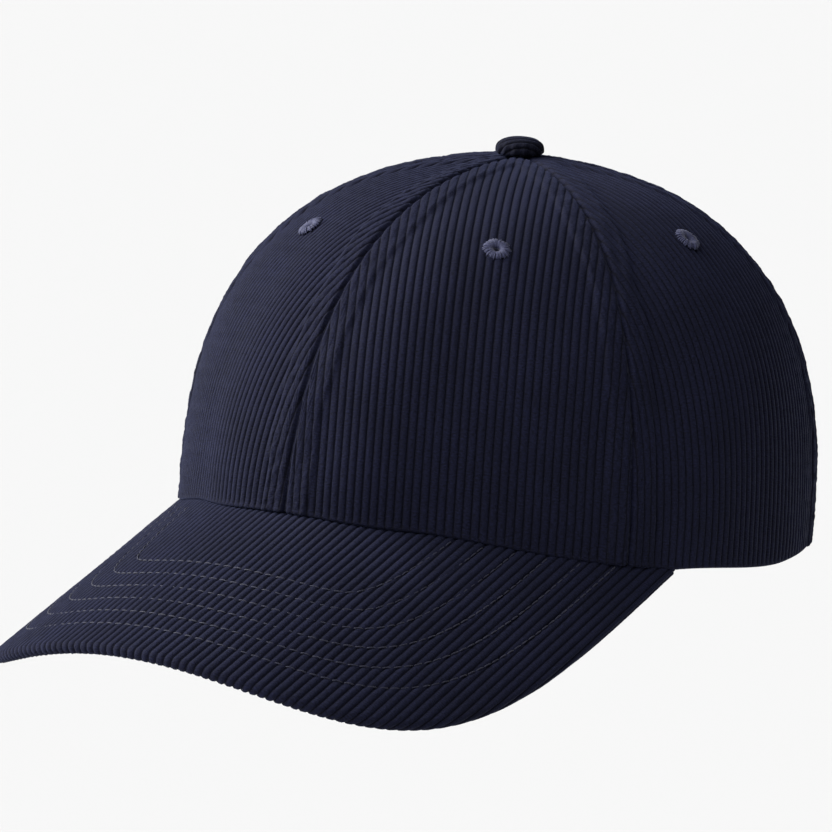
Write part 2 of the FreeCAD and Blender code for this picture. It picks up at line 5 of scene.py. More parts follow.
import bpy
import numpy as np
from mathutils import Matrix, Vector


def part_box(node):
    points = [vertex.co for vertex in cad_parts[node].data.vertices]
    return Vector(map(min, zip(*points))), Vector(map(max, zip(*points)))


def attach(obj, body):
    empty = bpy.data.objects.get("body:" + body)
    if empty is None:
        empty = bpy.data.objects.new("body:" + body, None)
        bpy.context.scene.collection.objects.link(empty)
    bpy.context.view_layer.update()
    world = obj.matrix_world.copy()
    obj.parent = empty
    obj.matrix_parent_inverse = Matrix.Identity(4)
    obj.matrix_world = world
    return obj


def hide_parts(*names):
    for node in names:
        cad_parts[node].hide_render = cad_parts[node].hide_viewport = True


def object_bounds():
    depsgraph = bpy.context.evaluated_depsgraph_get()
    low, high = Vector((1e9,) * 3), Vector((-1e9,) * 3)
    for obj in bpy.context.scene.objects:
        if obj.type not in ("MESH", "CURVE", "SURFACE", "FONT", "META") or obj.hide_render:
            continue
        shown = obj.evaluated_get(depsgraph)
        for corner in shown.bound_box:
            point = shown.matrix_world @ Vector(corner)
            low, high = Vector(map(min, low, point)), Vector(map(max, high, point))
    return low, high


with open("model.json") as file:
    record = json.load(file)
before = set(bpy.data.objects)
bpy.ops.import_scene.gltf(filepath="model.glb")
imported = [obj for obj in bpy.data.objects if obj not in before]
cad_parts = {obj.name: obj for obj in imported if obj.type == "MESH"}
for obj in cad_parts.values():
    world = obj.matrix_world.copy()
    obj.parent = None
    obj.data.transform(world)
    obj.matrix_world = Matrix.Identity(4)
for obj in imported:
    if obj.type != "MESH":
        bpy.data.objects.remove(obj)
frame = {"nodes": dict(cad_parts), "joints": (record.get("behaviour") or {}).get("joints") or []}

CAD_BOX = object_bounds()
MM = 0.001

# Crown, as the panels' CAD solids have it
HALF_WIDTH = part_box("panel_side_left")[1].x
CROWN_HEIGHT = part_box("panel_front_left")[1].z
FRONT_REACH = 114.6 * MM
BACK_REACH = 88.0 * MM
FRONT_PLAN_POWER, BACK_PLAN_POWER = 1.69, 2.0
NOSE_ROUND_TO = 24
SIDE_ROUND_SPAN = (58, 88)
APEX_SHIFT = 5.7 * MM
APEX_SHIFT_POWER = 0.61
OUTWARD_POWER = (2.125, 0.294, -0.021)
UPWARD_POWER = (2.796, 0.117, -0.208)
SIDE_FRONT_SEAM = math.radians(54.4)
SIDE_BACK_SEAM = math.radians(114.6)
SEAMS = (0.0, SIDE_FRONT_SEAM, SIDE_BACK_SEAM, math.pi, -SIDE_BACK_SEAM, -SIDE_FRONT_SEAM)
APEX_HOLE = 1.7 * MM
SEAM_GAP = 0.2 * MM
PANEL_THICK = 1.5 * MM

# Brim, as its covers have it
BRIM_FRONT = -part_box("visor_top_cover")[0].y
BRIM_REACH_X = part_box("visor_top_cover")[1].x
BRIM_THICK = 4.2 * MM
BRIM_SLOPE = math.tan(math.radians(18.6))
BRIM_ARCH = 0.0060 / MM
BRIM_ROOT_HEIGHT = 19.3 * MM
BRIM_END = math.radians(64.5)
BRIM_FADE = math.radians(30)
BRIM_GAP = 0.2 * MM
BRIM_SIDE_POWER, BRIM_FRONT_POWER, BRIM_END_POWER = 0.95, 1.18, 1.17

# Half-moon opening at the back
ARCH_HALF_WIDTH = 34.0 * MM
ARCH_STRAIGHT = 12.0 * MM
ARCH_HEIGHT = 38.0 * MM

# Corduroy
WALE = 2.343 * MM
GROOVE = 0.56 * MM
CLOTH_EDGE = 0.75 * MM
BAND_WIDTH = 7.4 * MM
BAND_RISE = 0.62 * MM
SEAM_DIP = 0.5 * MM
SEAM_DIP_WIDTH = 0.6 * MM
LIFT_POWER = 1.4


# ---------- crown surface ----------

def smooth(value, start, end):
    """0 before start, 1 after end, smooth between."""
    u = np.clip((value - start) / (end - start), 0, 1)
    return u * u * (3 - 2 * u)


def plan_radius(angle):
    reach = np.where(np.cos(angle) > 0, FRONT_REACH, BACK_REACH)
    turn = np.abs(np.degrees(angle))
    round_share = 1 - smooth(turn, 0, NOSE_ROUND_TO) + smooth(turn, *SIDE_ROUND_SPAN)
    power = FRONT_PLAN_POWER + (BACK_PLAN_POWER - FRONT_PLAN_POWER) * round_share
    across = np.abs(np.sin(angle) / HALF_WIDTH) ** power
    along = np.abs(np.cos(angle) / reach) ** power
    return (across + along) ** (-1 / power)


def wave_sum(parts, angle):
    return parts[0] + parts[1] * np.cos(angle) + parts[2] * np.cos(2 * angle)


def section_radius(angle, height):
    share = np.minimum(np.abs(height) / CROWN_HEIGHT, 1.0)
    lift = np.arcsin(share ** (wave_sum(UPWARD_POWER, angle) / 2))
    return plan_radius(angle) * np.cos(lift) ** (2 / wave_sum(OUTWARD_POWER, angle))


def section_shift(height):
    return APEX_SHIFT * (np.maximum(height, 0) / CROWN_HEIGHT) ** APEX_SHIFT_POWER


def surface_point(angle, height):
    radius = section_radius(angle, height)
    y = section_shift(height) - radius * np.cos(angle)
    return np.stack([radius * np.sin(angle), y, height + 0 * radius], -1)


def outside_by(point):
    y = point[..., 1] - section_shift(point[..., 2])
    angle = np.arctan2(point[..., 0], -y)
    return np.hypot(point[..., 0], y) - section_radius(angle, point[..., 2])


def outward_normal(point):
    step = 0.02 * MM
    slopes = []
    for axis in np.eye(3) * step:
        high, low = point + axis, point - axis
        high[..., 2] = np.minimum(high[..., 2], CROWN_HEIGHT)
        span = np.linalg.norm(high - low, axis=-1)
        slopes.append((outside_by(high) - outside_by(low)) / np.maximum(span, 1e-9))
    normal = np.stack(slopes, -1)
    normal /= np.linalg.norm(normal, axis=-1)[..., None]
    near_apex = np.hypot(point[..., 0], point[..., 1] - APEX_SHIFT) < 0.8 * MM
    normal[near_apex] = (0, 0, 1)
    return normal


def brim_top(x, y):
    return BRIM_ROOT_HEIGHT - BRIM_ARCH * x * x + BRIM_SLOPE * (y + FRONT_REACH)


def rim_height(angle):
    """Height of the crown's lower edge: on the brim in front, level at the sides and back."""
    held = np.clip(angle, -BRIM_END, BRIM_END)
    low = 0 * held
    for _ in range(5):
        point = surface_point(held, low)
        low = brim_top(point[..., 0], point[..., 1])
    fall = smooth(np.abs(angle), BRIM_END, BRIM_END + BRIM_FADE)
    return (low + BRIM_GAP) * (1 - fall)


# ---------- meshes ----------

def make_object(name, points, polygons, attributes, material):
    """Mesh object from points and arrays of equal-sided polygons, with named point attributes."""
    mesh = bpy.data.meshes.new(name)
    mesh.vertices.add(len(points))
    mesh.vertices.foreach_set("co", np.asarray(points, np.float32).ravel())
    loops = np.concatenate([p.ravel() for p in polygons]).astype(np.int32)
    sizes = np.concatenate([np.full(len(p), p.shape[1]) for p in polygons])
    starts = np.concatenate([[0], np.cumsum(sizes)[:-1]]).astype(np.int32)
    mesh.loops.add(len(loops))
    mesh.loops.foreach_set("vertex_index", loops)
    mesh.polygons.add(len(sizes))
    mesh.polygons.foreach_set("loop_start", starts)
    mesh.polygons.foreach_set("use_smooth", np.ones(len(sizes), bool))
    mesh.update(calc_edges=True)
    mesh.validate()
    for label, values in attributes.items():
        kind = "FLOAT" if values.ndim == 1 else "FLOAT_VECTOR"
        layer = mesh.attributes.new(label, kind, "POINT")
        field = "value" if values.ndim == 1 else "vector"
        layer.data.foreach_set(field, np.asarray(values, np.float32).ravel())
    mesh.materials.append(material)
    made = bpy.data.objects.new(name, mesh)
    bpy.context.scene.collection.objects.link(made)
    return made


def sheet_polygons(shape, keep=None, closed=False):
    """Quads of an outer and an inner grid, with walls wherever a kept cell meets the border or a hole."""
    columns, rows = shape
    index = np.arange(columns * rows).reshape(columns, rows)
    right = np.roll(index, -1, 0) if closed else index[1:]
    left = index if closed else index[:-1]
    cells = np.stack([left[:, :-1], right[:, :-1], right[:, 1:], left[:, 1:]], -1)
    if keep is None:
        keep = np.ones(cells.shape[:2], bool)
    inner_offset = columns * rows
    parts = [cells[keep], cells[keep][:, ::-1] + inner_offset]
    before = np.roll(keep, 1, 0) if closed else np.pad(keep, ((1, 0), (0, 0)))[:-1]
    after = np.roll(keep, -1, 0) if closed else np.pad(keep, ((0, 1), (0, 0)))[1:]
    below = np.pad(keep, ((0, 0), (1, 0)))[:, :-1]
    above = np.pad(keep, ((0, 0), (0, 1)))[:, 1:]
    for neighbour, first, second in ((before, 3, 0), (below, 0, 1), (after, 1, 2), (above, 2, 3)):
        edge = cells[keep & ~neighbour]
        a, b = edge[:, first], edge[:, second]
        parts.append(np.stack([b, a, a + inner_offset, b + inner_offset], -1))
    return np.concatenate(parts)


def cloth_solid(name, outer, inner, attributes, material, keep=None, closed=False):
    """Closed piece of cloth between two grids of points."""
    quads = sheet_polygons(outer.shape[:2], keep, closed)
    points = np.concatenate([outer.reshape(-1, 3), inner.reshape(-1, 3)])
    a, b, c = (points[quads[:, i]] for i in (0, 1, 2))
    face_normal = np.cross(b - a, c - a)
    out = (outer - inner).reshape(-1, 3)
    half = quads[:, 0] < len(out)
    whole = half & (quads < len(out)).all(1)
    if (face_normal[whole] * out[quads[whole, 0]]).sum() < 0:
        quads = quads[:, ::-1]
    doubled = {k: np.concatenate([v.reshape(len(out), -1)] * 2).squeeze() for k, v in attributes.items()}
    doubled["outside"] = np.repeat([1.0, 0.0], len(out))
    return make_object(name, points, [quads], doubled, material)


def cloth_place(across, along):
    """Place on the cloth laid flat, as its materials read it."""
    across, along = np.broadcast_arrays(across, along)
    return np.stack([across, along, 0 * along], -1)


def rib_profile(cloth):
    """Height share of the corduroy's ribs at a distance across them: 1 on a crest, 0 in a groove."""
    phase = cloth / WALE
    from_crest = np.abs(phase - np.round(phase))
    return 1 - (2 * from_crest) ** 3.2


def wave_noise(seed, spacing, *coordinates):
    """Smooth seeded noise, about -1 to 1, with bumps of about the given spacing."""
    random = np.random.default_rng(seed)
    total = 0
    for _ in range(7):
        direction = random.normal(size=len(coordinates))
        direction *= 2 * math.pi / spacing / np.linalg.norm(direction) * random.uniform(0.6, 1.3)
        phase = random.uniform(0, 2 * math.pi)
        total = total + np.sin(sum(d * c for d, c in zip(direction, coordinates)) + phase)
    return total / 3.2


def edge_roll(distance, radius):
    """Depth of a rounded fold at a distance from its edge."""
    inside = np.clip(1 - distance / radius, 0, 1)
    return radius * (1 - np.sqrt(1 - inside ** 2))


def wale_columns(low, high, phases, shift):
    """Cloth distances of mesh columns across the wales between two limits."""
    first, last = math.floor(low / WALE) - 1, math.ceil(high / WALE) + 1
    lines = (np.arange(first, last)[:, None] + np.array(phases)[None]) * WALE - shift
    lines = lines.ravel()
    margin = 0.12 * MM
    lines = lines[(lines > low + margin) & (lines < high - margin)]
    return np.concatenate([[low], lines, [high]])


FINE_PHASES = (-0.5, -0.44, -0.36, -0.24, 0, 0.24, 0.36, 0.44)
COARSE_PHASES = (-0.5, -0.4, -0.22, 0, 0.22, 0.4)


def spaced_rows(lengths, start_steps, count, end_steps):
    """Row distances along columns of given lengths, closer together at both ends."""
    rows = []
    for length in lengths:
        start = np.array(start_steps) * min(1, 0.3 * length / start_steps[-1])
        end = length - np.array(end_steps)[::-1] * min(1, 0.3 * length / end_steps[-1])
        rows.append(np.concatenate([start, np.linspace(start[-1], end[0], count + 2)[1:-1], end]))
    return np.array(rows)


# ---------- crown panels ----------

def solve_offset(centre, across, height):
    """Angle at which a wale's upright plane meets the dome at each height."""
    low = np.full(np.broadcast(across, height).shape, -1.3)
    high = -low
    for _ in range(36):
        middle = (low + high) / 2
        less = section_radius(centre + middle, height) * np.sin(middle) < across
        low, high = np.where(less, middle, low), np.where(less, high, middle)
    return centre + (low + high) / 2


def seam_top(centre, seam, across):
    """Height at which a wale runs into a seam."""
    low, high = np.zeros_like(across), np.full_like(across, CROWN_HEIGHT)
    spread = abs(math.sin(seam - centre))
    for _ in range(40):
        middle = (low + high) / 2
        reach = section_radius(seam + 0 * middle, middle) * spread - SEAM_GAP / 2
        wide = reach > np.abs(across)
        low, high = np.where(wide, middle, low), np.where(wide, high, middle)
    return low


def hole_height(angle):
    low, high = 0.0, CROWN_HEIGHT
    for _ in range(40):
        middle = (low + high) / 2
        if section_radius(np.array(angle), middle) > APEX_HOLE:
            low = middle
        else:
            high = middle
    return low


def arch_foot(x):
    """Height of the half-moon opening's edge at a distance from the cap's middle, 0 beside it."""
    share = np.clip(np.abs(x) / ARCH_HALF_WIDTH, 0, 1)
    curve = ARCH_STRAIGHT + (ARCH_HEIGHT - ARCH_STRAIGHT) * np.sqrt(1 - share ** 2)
    return np.where(share < 1, curve, 0)


def arch_distance(points):
    """Distance from the half-moon opening's edge."""
    turn = np.linspace(0, math.pi / 2, 60)
    x = np.concatenate([ARCH_HALF_WIDTH * np.sin(turn), np.full(20, ARCH_HALF_WIDTH)])
    z = np.concatenate([ARCH_STRAIGHT + (ARCH_HEIGHT - ARCH_STRAIGHT) * np.cos(turn),
                        np.linspace(ARCH_STRAIGHT, 0, 20)])
    flat = np.stack([np.abs(points[..., 0]), points[..., 2]], -1).reshape(-1, 2)
    line = np.stack([x, z], -1)
    best = np.full(len(flat), 1.0)
    for start, end in zip(line[:-1], line[1:]):
        along = end - start
        share = np.clip(((flat - start) @ along) / (along @ along), 0, 1)
        best = np.minimum(best, np.linalg.norm(flat - start - share[:, None] * along, axis=1))
    return best.reshape(points.shape[:-1])


def lift_of(height):
    """Turn, 0 at the rim's plane to a quarter at the apex, in which even steps suit the dome."""
    return np.arcsin((height / CROWN_HEIGHT) ** LIFT_POWER)


def height_of(lift):
    return CROWN_HEIGHT * np.sin(lift) ** (1 / LIFT_POWER)


def gore_grid(first, last, seed, back):
    """Points of a gore's face in wale columns, with each point's distance across and along the cloth."""
    centre = (first + last) / 2
    spread = abs(last - first) / 2
    girth = float(plan_radius(np.array(centre)))
    ends = []
    for seam in (first, last):
        height = rim_height(np.array(seam))
        reach = float(section_radius(np.array(seam), height)) * math.sin(spread) - SEAM_GAP
        ends.append(girth * math.asin(min(reach / girth, 0.999)))
    shift = np.random.default_rng(seed).uniform(-0.5, 0.5) * WALE
    cloth = wale_columns(-ends[0] + 0.1 * MM, ends[1] - 0.1 * MM, FINE_PHASES, shift)
    across = girth * np.sin(cloth / girth)
    seam = np.where(across > 0, last, first)
    top = np.array([seam_top(centre, s, np.array([a]))[0] for s, a in zip(seam, across)])
    top = np.minimum(top, hole_height(centre))
    foot = np.zeros_like(across)
    for _ in range(8):
        angle = solve_offset(centre, across, foot)
        rim = rim_height(angle)
        if back:
            rim = np.maximum(rim, arch_foot(surface_point(angle, foot)[..., 0]))
        foot = np.minimum(rim, top - 0.2 * MM)
    real = rim < top - 0.25 * MM
    cloth, across, top, foot = cloth[real], across[real], top[real], foot[real]
    share = np.linspace(0, 1, 260)[None]
    lift_low = lift_of(np.clip(foot, 0, None))[:, None]
    lift_high = lift_of(top)[:, None]
    dense_height = height_of(lift_low + (lift_high - lift_low) * share)
    dense_height += (foot - dense_height[:, 0])[:, None] * (1 - share)
    dense_angle = solve_offset(centre, across[:, None], dense_height)
    dense = surface_point(dense_angle, dense_height)
    steps = np.linalg.norm(np.diff(dense, axis=1), axis=-1)
    run = np.concatenate([np.zeros((len(steps), 1)), np.cumsum(steps, 1)], 1)
    rows = spaced_rows(run[:, -1], np.array([0, 0.12, 0.3, 0.55, 0.85, 1.3]) * MM, 106,
                       np.array([0, 0.2, 0.45, 0.8, 1.3, 2.0]) * MM)
    height = np.array([np.interp(r, a, h) for r, a, h in zip(rows, run, dense_height)])
    angle = solve_offset(centre, across[:, None], height)
    points = surface_point(angle, height)
    return points, cloth[:, None] + shift + 0 * rows, rows, height


def seam_distance(points, seam):
    """Distance from the upright plane through a seam."""
    shifted = points[..., 1] - section_shift(points[..., 2])
    return np.abs(points[..., 0] * math.cos(seam) + shifted * math.sin(seam))


def eyelet_base(name):
    """Centre and outward normal of an eyelet, from its CAD solid."""
    low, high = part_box(name)
    middle = np.array((low + high) / 2)
    angle = math.atan2(middle[0], -(middle[1] - float(section_shift(np.array(middle[2])))))
    point = surface_point(np.array(angle), np.array(middle[2]))
    for _ in range(6):
        normal = outward_normal(point[None])[0]
        gap = middle - point
        tangent = gap - normal * gap.dot(normal)
        moved = point + tangent
        y = moved[1] - float(section_shift(np.array(moved[2])))
        angle = math.atan2(moved[0], -y)
        point = surface_point(np.array(angle), np.array(moved[2]))
    return point, outward_normal(point[None])[0]


def panel(name, first, last, seed, back=False):
    """One corduroy gore with its ribs, seam bands, rolled lower edge and eyelet hole."""
    points, cloth, rows, height = gore_grid(first, last, seed, back)
    normal = outward_normal(points.copy())
    beside = np.minimum(seam_distance(points, first), seam_distance(points, last))
    rib = rib_profile(cloth)
    band_edge = BAND_WIDTH + wave_noise(seed + 6, 22 * MM, points[..., 2]) * 0.5 * MM
    band = smooth(beside, 0.1 * MM, 1.2 * MM)
    band = band * (1 - smooth(beside, band_edge - 1.1 * MM, band_edge + 0.7 * MM))
    lumps = wave_noise(seed + 2, 6 * MM, points[..., 0], points[..., 1], points[..., 2])
    dip = SEAM_DIP * np.exp(-(beside / SEAM_DIP_WIDTH) ** 2)
    foot = rows
    if back:
        foot = np.minimum(np.minimum(rows, arch_distance(points)), np.maximum(height, 0))
    roll = edge_roll(foot, CLOTH_EDGE)
    slack = wave_noise(seed + 3, 45 * MM, points[..., 0], points[..., 1], points[..., 2]) * 0.35 * MM
    slack = slack * smooth(foot, 0, 12 * MM) * smooth(beside, 0, 8 * MM)
    pile = wave_noise(seed + 4, 2.4 * MM, cloth * 1.7, rows) * (0.05 + 0.09 * band) * MM
    groove = GROOVE * (1 - 0.3 * band)
    depth = groove * (1 - rib) * smooth(foot, 0.1 * MM, 2 * MM) + dip + roll
    depth = depth - band * (BAND_RISE + lumps * 0.15 * MM) + slack + pile * rib + 0.25 * MM
    if back:
        depth = depth + hem_dent(arch_distance(points))
    outer = points - normal * np.minimum(depth, PANEL_THICK - 0.12 * MM)[..., None]
    inner_depth = PANEL_THICK + slack * 0.5 - roll
    inner = points - normal * np.maximum(inner_depth, depth + 0.02 * MM)[..., None]
    base, axis = eyelet_base(name.replace("panel", "eyelet"))
    middle = (points[:-1, :-1] + points[1:, 1:]) / 2 - base
    radial = np.linalg.norm(middle - (middle @ axis)[..., None] * axis, axis=-1)
    keep = radial > 1.9 * MM
    attributes = {"rib": rib, "cloth": cloth_place(cloth, rows + seed * 0.31)}
    made = cloth_solid("cloth_" + name, outer, inner, attributes, finish("corduroy"), keep)
    place(made, "cap", "corduroy_navy", name)
    return made


HEM_STITCH = 5.5 * MM


def hem_dent(distance):
    """Depth that a row of topstitching pulls into the cloth beside a folded edge."""
    return 0.28 * MM * np.exp(-((distance - HEM_STITCH) / (0.5 * MM)) ** 2)


def place(piece, body, slot, *nodes):
    """Rides a piece on its body and hides the CAD nodes it stands for; slot is not used."""
    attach(piece, body)
    if nodes:
        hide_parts(*nodes)


def crown_panels():
    back = math.pi
    panel("panel_front_left", 0.0, SIDE_FRONT_SEAM, 11)
    panel("panel_front_right", -SIDE_FRONT_SEAM, 0.0, 12)
    panel("panel_side_left", SIDE_FRONT_SEAM, SIDE_BACK_SEAM, 13)
    panel("panel_side_right", -SIDE_BACK_SEAM, -SIDE_FRONT_SEAM, 14)
    panel("panel_back_left", SIDE_BACK_SEAM, back, 15, back=True)
    panel("panel_back_right", -back, -SIDE_BACK_SEAM, 16, back=True)


# ---------- visor ----------

FALL = math.hypot(1, BRIM_SLOPE)
BEND = 2 * BRIM_ARCH / FALL
EDGE_RADIUS = BRIM_THICK / 2


def across_cloth(x):
    """Distance over the arched brim from its middle line."""
    return 0.5 * (x * np.sqrt(1 + (BEND * x) ** 2) + np.arcsinh(BEND * x) / BEND)


def brim_flat(x, y):
    """Where a plan point of the brim lies on its cloth laid flat: across and along the wales."""
    return np.stack([across_cloth(x), -(y + BRIM_SLOPE * brim_top(x, y)) / FALL], -1)


def brim_at(flat):
    """Point, normal, across and along directions of the brim's top face from its flat cloth."""
    table = np.linspace(-0.16, 0.16, 6001)
    x = np.interp(flat[..., 0], across_cloth(table), table)
    lift = BRIM_ROOT_HEIGHT - BRIM_ARCH * x * x + BRIM_SLOPE * FRONT_REACH
    y = (-flat[..., 1] * FALL - BRIM_SLOPE * lift) / FALL ** 2
    point = np.stack([x, y, brim_top(x, y)], -1)
    normal = np.stack([2 * BRIM_ARCH * x, np.full_like(x, -BRIM_SLOPE), np.ones_like(x)], -1)
    normal /= np.linalg.norm(normal, axis=-1)[..., None]
    along = np.array([0, -1, -BRIM_SLOPE]) / FALL
    across = np.cross(normal, np.broadcast_to(along, normal.shape))
    across *= np.where(across[..., :1] < 0, -1, 1)
    return point, normal, across, along


def brim_curves():
    """Flat curves of the left half: the crown join, and the middle of the rounded edge with its normal."""
    turn = np.linspace(1, 0, 1600)
    end = surface_point(np.array(BRIM_END), np.array(2.0 * MM))
    side, front = np.sin(turn * math.pi / 2), np.cos(turn * math.pi / 2)
    reach = BRIM_FRONT + end[1]
    pull = side ** BRIM_END_POWER
    width = BRIM_REACH_X
    for _ in range(8):
        x = side ** BRIM_SIDE_POWER * width * (1 - pull) + end[0] * pull
        width *= BRIM_REACH_X / x.max()
    y = end[1] - reach * np.maximum(front, 0) ** BRIM_FRONT_POWER
    outline = brim_flat(x, y)
    tangent = np.gradient(outline, axis=0)
    tangent /= np.linalg.norm(tangent, axis=1)[:, None]
    outward = np.stack([tangent[:, 1], -tangent[:, 0]], -1)
    outward *= np.sign((outward * (outline - outline.mean(0))).sum())
    outward[-1] = (0, 1)
    angle = np.linspace(0, BRIM_END, 300)
    rim = rim_height(angle)
    wall = surface_point(angle, np.maximum(rim, 0))
    wall = wall - outward_normal(wall.copy()) * PANEL_THICK
    return brim_flat(wall[:, 0], wall[:, 1]), outline - outward * EDGE_RADIUS, outward


def nearest_on(line, points):
    """Index of the nearest point of a fine polyline for each point, in chunks."""
    found = np.empty(len(points), int)
    for start in range(0, len(points), 4000):
        part = points[start:start + 4000]
        gap = ((part[:, None] - line[None]) ** 2).sum(-1)
        found[start:start + 4000] = gap.argmin(1)
    return found


def brim_cover(name, wrap_degrees, count, side, seed, dents):
    """Ribbed cover of the brim that wraps round part of its thick edge; side is 1 on top, -1 below."""
    root, middle, outward = brim_curves()
    wrap = math.radians(wrap_degrees) * EDGE_RADIUS
    border = middle + outward * wrap
    widest = border[:, 0].argmax()
    end_line = np.stack([middle[0], border[0]])
    start_curve = np.concatenate([root, end_line, border[:widest + 1]])
    start_curve = start_curve[np.concatenate([[True], np.diff(np.maximum.accumulate(start_curve[:, 0])) > 0])]
    front_curve = border[widest:][::-1]
    limit = border[widest, 0]
    shift = np.random.default_rng(seed).uniform(-0.5, 0.5) * WALE
    cloth = wale_columns(-limit + 0.15 * MM, limit - 0.15 * MM, COARSE_PHASES, shift)
    start = np.interp(np.abs(cloth), start_curve[:, 0], start_curve[:, 1])
    front = np.interp(np.abs(cloth), front_curve[:, 0], front_curve[:, 1])
    steps = np.linspace(0, 1, 9) ** 1.2 * wrap * 1.1
    rows = spaced_rows(front - start, np.array([0, 0.3, 0.7, 1.3]) * MM, count, steps)
    flat = np.stack([cloth[:, None] + 0 * rows, start[:, None] + rows], -1)
    mirrored = np.stack([np.abs(flat[..., 0]), flat[..., 1]], -1).reshape(-1, 2)
    sign = np.where(flat[..., 0] < 0, -1.0, 1.0)
    index = nearest_on(middle, mirrored)
    gap = mirrored - middle[index]
    beyond = (gap * outward[index]).sum(1)
    slide = gap - beyond[:, None] * outward[index]
    foot = np.where(beyond[:, None] > 0, middle[index] + slide, mirrored).reshape(flat.shape)
    foot[..., 0] *= sign
    turn_out = outward[index].reshape(flat.shape) * np.stack([sign, np.ones_like(sign)], -1)
    beyond = beyond.reshape(sign.shape)
    roll = np.maximum(beyond, 0) / EDGE_RADIUS
    point, normal, across, along = brim_at(foot)
    lateral = turn_out[..., :1] * across + turn_out[..., 1:] * along
    face = normal * side
    pivot = point - normal * EDGE_RADIUS
    reach = face * np.cos(roll)[..., None] + lateral * np.sin(roll)[..., None]
    rib = rib_profile(flat[..., 0] + shift)
    ending = wrap - beyond
    crease = np.exp(-(rows / (1.1 * MM)) ** 2) * (np.abs(flat[..., 0]) < root[-1, 0])
    close = edge_roll(ending, CLOTH_EDGE)
    stitch = 0 * rib
    for offset in dents:
        stitch = stitch + np.exp(-((beyond + offset) / (0.55 * MM)) ** 2)
    pile = wave_noise(seed + 4, 2.1 * MM, flat[..., 0] * 1.7, flat[..., 1]) * 0.05 * MM
    slack = wave_noise(seed + 5, 38 * MM, flat[..., 0], flat[..., 1]) * 0.15 * MM
    slack = slack * smooth(-beyond, 0, 10 * MM)
    depth = GROOVE * (1 - rib) + crease * 0.5 * MM + close + stitch * 0.26 * MM
    depth = depth + pile * rib + slack + 0.15 * MM
    thick = 1.15 * MM
    outer = pivot + reach * (EDGE_RADIUS - np.minimum(depth, thick - 0.1 * MM))[..., None]
    inner_depth = np.maximum(thick - close, depth + 0.03 * MM)
    inner = pivot + reach * (EDGE_RADIUS - np.minimum(inner_depth, thick))[..., None]
    attributes = {"rib": rib, "cloth": cloth_place(flat[..., 0], flat[..., 1] + seed)}
    return cloth_solid("cloth_" + name, outer, inner, attributes, finish("corduroy"))


STITCH_ROWS = [(10.5 + 7.2 * row) * MM for row in range(6)]


def visor_thread(side):
    """Rows of topstitching that follow the brim's edge, on one of its faces."""
    root, middle, outward = brim_curves()
    lines = []
    for offset in STITCH_ROWS:
        row = middle - outward * offset
        row = row[(row[:, 0] >= 0) & (np.gradient(row[:, 0]) < 0)]
        clear = row[:, 1] > np.interp(row[:, 0], root[:, 0], root[:, 1], right=-1) + 3 * MM
        row = row[clear]
        whole = np.concatenate([row, row[::-1][1:] * (-1, 1)])
        point, normal, _, _ = brim_at(whole)
        depth = 0.42 * MM if side > 0 else BRIM_THICK - 0.42 * MM
        lines.append((point - normal * depth, normal * side))
    return stitched("visor_stitches_" + ("top" if side > 0 else "under"), lines, "cap", finish("navy thread"))


def visor():
    top = brim_cover("visor_top_cover", 150, 66, 1, 21, STITCH_ROWS)
    place(top, "cap", "corduroy_navy", "visor_top_cover")
    under = brim_cover("visor_under_cover", 28, 62, -1, 22, STITCH_ROWS)
    place(under, "cap", "corduroy_navy", "visor_under_cover")
    visor_thread(1)
    visor_thread(-1)


# ---------- thread ----------

def tubes(name, paths, ups, radii, material, sides=6):
    """One mesh of many short threads; paths and ups are (thread, step, 3), radii one for each step."""
    count, steps = paths.shape[:2]
    tangent = np.gradient(paths, axis=1)
    tangent /= np.linalg.norm(tangent, axis=-1)[..., None]
    beside = np.cross(tangent, ups)
    beside /= np.linalg.norm(beside, axis=-1)[..., None]
    above = np.cross(beside, tangent)
    turn = np.arange(sides) * 2 * math.pi / sides
    ring = beside[:, :, None] * np.cos(turn)[:, None] + above[:, :, None] * np.sin(turn)[:, None]
    points = paths[:, :, None] + ring * np.asarray(radii)[None, :, None, None]
    index = np.arange(count * steps * sides).reshape(count, steps, sides)
    after = np.roll(index, -1, 2)
    quads = np.stack([index[:, :-1], after[:, :-1], after[:, 1:], index[:, 1:]], -1).reshape(-1, 4)
    caps = np.concatenate([index[:, 0, ::-1], index[:, -1]])
    run = np.broadcast_to(np.arange(steps)[None, :, None] * 0.4 * MM, index.shape)
    cloth = np.stack([index * 0.013 * MM, run, 0 * run], -1).reshape(-1, 3)
    return make_object(name, points.reshape(-1, 3), [quads, caps], {"cloth": cloth}, material)


STITCH_LENGTH = 2.7 * MM
STITCH_GAP = 0.55 * MM
THREAD_RADIUS = 0.21 * MM


def stitched(name, lines, body, material, length=STITCH_LENGTH, radius=THREAD_RADIUS):
    """Rows of stitches along (points, normals) lines, each a short bowed thread that sinks at its ends."""
    paths, ups = [], []
    share = np.linspace(0, 1, 6)
    bow = (np.sin(share * math.pi) - 0.55) * radius * 1.1
    for points, normals in lines:
        steps = np.linalg.norm(np.diff(points, axis=0), axis=1)
        run = np.concatenate([[0], np.cumsum(steps)])
        starts = np.arange(0, run[-1] - length, length + STITCH_GAP)
        places = starts[:, None] + share[None] * length
        at = np.stack([np.interp(places, run, points[:, k]) for k in range(3)], -1)
        up = np.stack([np.interp(places, run, normals[:, k]) for k in range(3)], -1)
        paths.append(at + up * bow[None, :, None])
        ups.append(up)
    radii = radius * np.array([0.55, 0.95, 1, 1, 0.95, 0.55])
    made = tubes(name, np.concatenate(paths), np.concatenate(ups), radii, material)
    place(made, body, "eyelet_thread")
    return made


def square_frame(normal):
    """Two unit vectors square to a normal."""
    first = np.cross(normal, (0, 0, 1.0))
    first /= np.linalg.norm(first)
    return first, np.cross(normal, first)


EYELET_THREADS = 44


